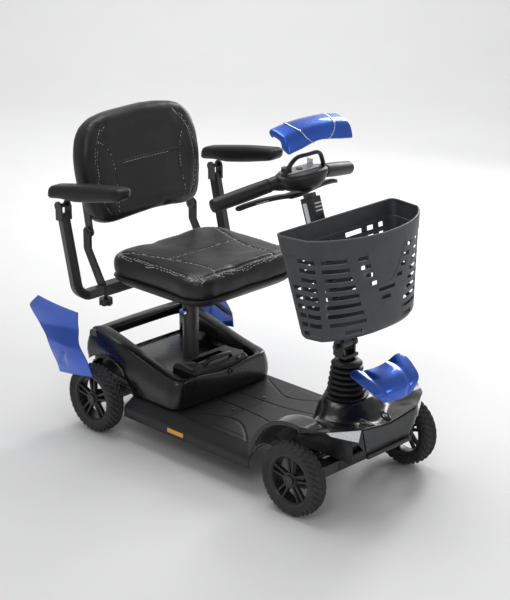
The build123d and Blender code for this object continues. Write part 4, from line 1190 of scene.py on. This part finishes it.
basket_lip = Shape()
lip_line = [Vector(p) for p in wall_rows(-0.0008)[0]]
basket_lip.tube(lip_line + lip_line[:2], 0.0030, 8)
panel_edge = [(u, z) for z in [0.700 - 0.005 * i for i in range(20)] for u in (-centre_panel(z) - 0.005,)]
panel_edge += [(-u, z) for u, z in reversed(panel_edge)]
wall_tree = sheet_tree(wall_points)
ridge = onto(wall_tree, [(0.196 * math.sin(u * FRONT_ARC) / math.sin(FRONT_ARC), -1.0, z)
                         for u, z in panel_edge], (0, 1, 0))
basket_lip.tube([p + Vector((0, -0.0036, 0)) for p, _ in ridge], 0.0015, 6)
piece("basket_lip", basket_lip, "basket", "basket")


# ---- loose blue covers -------------------------------------------------------------------
def along_curve(values, share):
    """Smooth value a share of the way through a list of evenly spaced ones."""
    place = share * (len(values) - 1)
    i = min(len(values) - 2, int(place))
    t = place - i
    p0, p1, p2, p3 = (values[min(len(values) - 1, max(0, i + k))] for k in (-1, 0, 1, 2))
    return 0.5 * (2 * p1 + (p2 - p0) * t + (2 * p0 - 5 * p1 + 4 * p2 - p3) * t ** 2
                  + (3 * p1 - p0 - 3 * p2 + p3) * t ** 3)


def cover_point(u, v):
    """Nose cover: a shield with two horns, a hollow upper edge and a pointed lower one."""
    y = along_curve((-0.497, -0.528, -0.556, -0.574, -0.578), v)
    z = along_curve((0.367, 0.362, 0.351, 0.331, 0.302), v)
    dy = along_curve((0.004, 0.022, 0.022, 0.005, 0.002), v)
    dz = along_curve((0.022, 0.012, 0.006, 0.004, 0.004), v)
    wide = along_curve((0.098, 0.104, 0.101, 0.086, 0.056), v)
    a = abs(u)
    crease = 0.0035 * bell(a - 0.52, 0.10) * (1 - 0.6 * v)
    corner = 0.012 * max(0.0, a / 0.3 - 7 / 3) ** 2 * (1 - ease(0.0, 0.35, v))
    return (wide * u, y + dy * a ** 2.2 + crease, z + dz * a ** 2.2 - crease - corner)


nose = Shape().grid([[cover_point(u, v) for u in spread(-1, 1, 40)] for v in spread(0, 1, 28)])
piece("nose_cover_shell", nose, "nose_cover", "blue", ["nose_cover"], thick=0.0032,
      bevel=0.0012, levels=1, angle=80)

COVER_MID, COVER_HALF = (-0.259, 0.952), 0.119
COVER_LINE = [(-0.0395, -0.037), (-0.0385, -0.028), (-0.035, -0.016), (-0.031, -0.004), (-0.024, 0.005),
              (-0.010, 0.011), (0.008, 0.0165), (0.022, 0.0195), (0.029, 0.0165), (0.031, 0.009)]


def tiller_cover_row(x, shrink=0.0):
    """Section of the tiller cover at x; shrink draws it in to close an end."""
    share = abs(x) / COVER_HALF
    row = []
    for i, (y, z) in enumerate(COVER_LINE):
        hollow = 0.010 * bell(x, 0.060) * (1 - ease(0, 3, i))
        drop = 0.006 * share ** 2.6
        y2, z2 = y + hollow * 0.4, z + hollow + (0.004 if i > 3 else 0.0) * (1 - share ** 2) - drop
        y2, z2 = mix(y2, 0.004, shrink), mix(z2, -0.014 - drop, shrink)
        row.append((x, COVER_MID[0] + y2, COVER_MID[1] + z2))
    return row


cover_rows = [tiller_cover_row(x) for x in spread(-COVER_HALF, COVER_HALF, 60)]
cover_rows = ([tiller_cover_row(-COVER_HALF - 0.003, s) for s in (0.55, 0.30, 0.12)] + cover_rows
              + [tiller_cover_row(COVER_HALF + 0.003, s) for s in (0.12, 0.30, 0.55)])
piece("tiller_cover_shell", Shape().grid(cover_rows), "tiller_cover", "blue",
      ["tiller_cover"], thick=0.003, levels=1, angle=70)
stripes = Shape()
for _, side in SIDES:
    rows = []
    for k in range(25):
        t = k / 24 * (len(COVER_LINE) - 2)
        i = min(len(COVER_LINE) - 3, int(t))
        x = side * (0.026 + 0.046 * math.sin(k / 24 * math.pi * 0.62))
        first, second = tiller_cover_row(x)[i], tiller_cover_row(x)[i + 1]
        spot = Vector(first).lerp(Vector(second), t - i)
        out = Vector((0, spot.y - COVER_MID[0] - 0.012, spot.z - COVER_MID[1] + 0.035)).normalized()
        rows.append([(x + w, spot.y + out.y * 0.0008, spot.z + out.z * 0.0008) for w in (-0.0024, 0, 0.0024)])
    stripes.grid(rows)
piece("tiller_cover_stripes", stripes, "tiller_cover", "stripe", thick=0.0008, offset=1)

PANEL_FRONT = [(0.300, 0.190), (0.314, 0.230), (0.340, 0.262), (0.364, 0.290), (0.373, 0.323), (0.371, 0.358)]
PANEL_BACK = [(0.447, 0.164), (0.458, 0.198), (0.475, 0.232), (0.495, 0.260), (0.543, 0.286), (0.580, 0.320),
              (0.582, 0.334), (0.545, 0.367)]


def edge_at(points, t):
    """A point along an edge list, t from 0 to 1."""
    line = through([(y, z, 0) for y, z in points], 0.004)
    return line[min(len(line) - 1, round(t * (len(line) - 1)))]


for side_name, side in SIDES:
    rows = []
    for t in spread(0, 1, 40):
        front, back = edge_at(PANEL_FRONT, t), edge_at(PANEL_BACK, t)
        row = []
        for u in spread(0, 1, 28):
            y, z = mix(front.x, back.x, u), mix(front.y, back.y, u)
            bulge = (0.005 * math.sin(math.pi * u) + 0.019 * (1 - ease(0.252, 0.306, z + 0.10 * (y - 0.43)))
                     - 0.009 * (1 - ease(0.165, 0.235, z)) - 0.006)
            rise, run = z - 0.196, y - 0.402
            recess = 0.0035 * ease(0.0, 0.006, min(run * 0.9, rise, 0.05 - rise * 0.9 - run * 1.1))
            row.append((side * (0.2705 + bulge - recess), y, z))
        rows.append(row)
    panel = Shape().grid(rows)
    panel.slab(rounded(0.006, 0.011, 0.003),
               lambda u, v, h: (side * (0.2675 + u * 0.5), 0.3865 - 0.5 * h, 0.262 + v),
               soft_edges(0.016, 0.002))
    piece(f"rear_panel_{side_name}_shell", panel, f"panel_{side_name}", "blue",
          [f"rear_panel_{side_name}"], thick=0.0032, offset=-1, bevel=0.0012, angle=60)


# ---- armrest pads ------------------------------------------------------------------------
PAD_TILT, PAD_HALF = math.radians(10), 0.0275
for side_name, side in SIDES:
    rings = []
    for t in spread(0, 1, 44):
        along = mix(-0.155, 0.155, t)
        end = max(0.16, dome(t / 0.055) * dome((1 - t) / 0.09))
        belly = 0.004 * bell(t - 0.45, 0.35)
        slim = 0.004 * ease(0.55, 1.0, t)
        half_w = PAD_HALF * end ** 0.6
        heel = 0.004 * (1 - ease(0.15, 0.40, t))
        half_h = (0.0215 + belly * 0.5 - slim - heel) * end
        ring = []
        for u, v in rounded(half_w, half_h, min(half_h, half_w) * 0.72, 6):
            crown = 0.003 * (1 - (u / PAD_HALF) ** 2) if v > 0 else 0.0
            ring.append((side * 0.288 + u, 0.276 - along * math.cos(PAD_TILT) - v * math.sin(PAD_TILT),
                         0.7275 + along * math.sin(PAD_TILT) + (v + crown + heel) * math.cos(PAD_TILT)))
        rings.append(ring)
    pad = piece(f"armrest_pad_{side_name}_skin", Shape().loft(rings), f"pad_{side_name}", "pad",
                [f"armrest_pad_{side_name}"], levels=1, angle=75)

# ---- steering bellows --------------------------------------------------------------------
FOLDS, BELLOWS_LOW, BELLOWS_HIGH = 6, 0.2615, 0.361
fold_line = [(0.0, 0.057), (0.004, 0.057), (0.0055, 0.050)]
for k in range(FOLDS):
    big, small = mix(0.0520, 0.0415, k / (FOLDS - 1)), mix(0.0430, 0.0320, k / (FOLDS - 1))
    pitch = (BELLOWS_HIGH - BELLOWS_LOW - 0.010) / FOLDS
    start = 0.007 + k * pitch
    for t in spread(0, 1, 8)[:-1]:
        fold_line.append((start + t * pitch, mix(small, big, math.sin(math.pi * t) ** 0.8)))
fold_line += [(BELLOWS_HIGH - BELLOWS_LOW, 0.030), (BELLOWS_HIGH - BELLOWS_LOW, 0.022), (0.002, 0.022)]
bellows = Shape().lathe(fold_line, (0, COLUMN_Y, BELLOWS_LOW), (0, 0, 1), 72)
piece("bellows_folds", bellows, "column", "soft", ["steering_bellows"], angle=50)


# ---- grips and console -------------------------------------------------------------------
BEND, GRIP_END = Vector((0.084, -0.213, 0.812)), Vector((0.256, -0.165, 0.778))
grips, collars = Shape(), Shape()
for _, side in SIDES:
    start = Vector((side * BEND.x, BEND.y, BEND.z))
    end = Vector((side * GRIP_END.x, GRIP_END.y, GRIP_END.z))
    run = (end - start).normalized()
    first = start + run * 0.010
    length = (end - first).length + 0.005
    path = [first + run * t for t in spread(0, length, 40)]

    def girth(t):
        """Grip radius along its length: a slim neck, a soft swell and a rounded end."""
        neck = mix(0.0155, 0.0180, ease(0.0, 0.12, t))
        swell = 0.0012 * math.sin(math.pi * min(1, t * 1.1))
        end_cap = math.sqrt(max(0.02, 1 - max(0, (t - 0.955) / 0.045) ** 2))
        return (neck + swell) * end_cap

    grips.tube(path, girth, 28)
    for k in range(5):
        spot = first + run * (0.006 + 0.0042 * k)
        ring = spot.cross(run).normalized()
        other = run.cross(ring)
        loop = [spot + (ring * math.cos(a) + other * math.sin(a)) * 0.0170 for a in full_turn(32, 2)]
        collars.tube(loop, 0.0017, 6)
    cuff = [Vector((side * 0.062, -0.219, 0.812)), Vector((side * 0.076, -0.2160, 0.812)), start,
            first + run * 0.004]
    collars.tube(through(cuff, 0.004), lambda t: mix(0.0225, 0.0165, t), 24)
piece("hand_grips", grips, "tiller", "soft", ["grips"], angle=60)
piece("grip_collars", collars, "tiller", "plastic", angle=50)

pod = Shape()
POD_LEVELS = [(0.7862, 0.020, 0.6), (0.7870, 0.010, 0.66), (0.7920, 0.004, 0.74), (0.8010, 0.0, 0.86),
              (0.8120, 0.0, 0.96), (0.8220, 0.0, 1.0), (0.8290, 0.0, 1.0), (0.8325, 0.002, 1.0),
              (0.8345, 0.006, 1.0), (0.8350, 0.016, 1.0)]
pod_rings = []
for z, d, wide in POD_LEVELS:
    ring = []
    for t in full_turn(64):
        u, v = math.cos(t), math.sin(t)
        x = 0.086 * wide * math.copysign(abs(u) ** 0.8, u)
        y = (0.043 if v < 0 else 0.036) * math.copysign(abs(v) ** 0.9, v) * (0.9 + 0.1 * wide)
        pull = 1 - d / 0.05
        ring.append((x * pull, -0.228 + y * pull, z))
    pod_rings.append(ring)
pod.loft(pod_rings)
arch_half = [(0.076, -0.236, 0.828), (0.066, -0.242, 0.850), (0.042, -0.250, 0.8775)]
arch_line = through([(-x, y, z) for x, y, z in arch_half] + [(0.0, -0.2525, 0.8805)] + arch_half[::-1], 0.004)
pod.tube(arch_line, lambda t: 0.0062 - 0.0010 * bell(t - 0.5, 0.3), 14)
piece("console_pod", pod, "tiller", "plastic", ["console_base"], angle=40)

plate = Shape().slab(rounded(0.064, 0.022, 0.016), lambda u, v, h: (u, -0.221 + v, 0.8348 + h),
                     soft_edges(0.0016, 0.0006))
piece("console_plate", plate, "tiller", "cast")

paddle = Shape()
for _, side in SIDES:
    blade = [(0.030, -0.212, 0.768), (0.070, -0.208, 0.771), (0.115, -0.200, 0.770), (0.160, -0.190, 0.765),
             (0.188, -0.181, 0.758)]
    line = through([(side * x, y, z) for x, y, z in blade], 0.005)
    rings = []
    for i, p in enumerate(line):
        t = i / (len(line) - 1)
        tip = math.sqrt(max(0.05, 1 - max(0, (t - 0.93) / 0.07) ** 2))
        rings.append([(p.x, p.y + u * tip, p.z + v * tip)
                      for u, v in rounded(mix(0.011, 0.0085, t), 0.0052, 0.0035, 4)])
    paddle.loft(rings if side > 0 else rings[::-1])
paddle.slab(rounded(0.034, 0.013, 0.006), lambda u, v, h: (u, -0.213 + v, 0.7615 + h),
            soft_edges(0.012, 0.003))
piece("throttle_blades", paddle, "throttle", "plastic", ["throttle_paddle"], angle=50)
# A thin silver line along the near blade only: a painted highlight, not a trim that the paddle has.
painted_highlight_line = Shape()
painted_highlight_line.tube(through([(-0.104, -0.2125, 0.7705), (-0.122, -0.2085, 0.7690), (-0.140, -0.2040, 0.7668)], 0.004),
           0.0014, 8)
piece("paddle_painted_highlight", painted_highlight_line, "throttle", "silver")
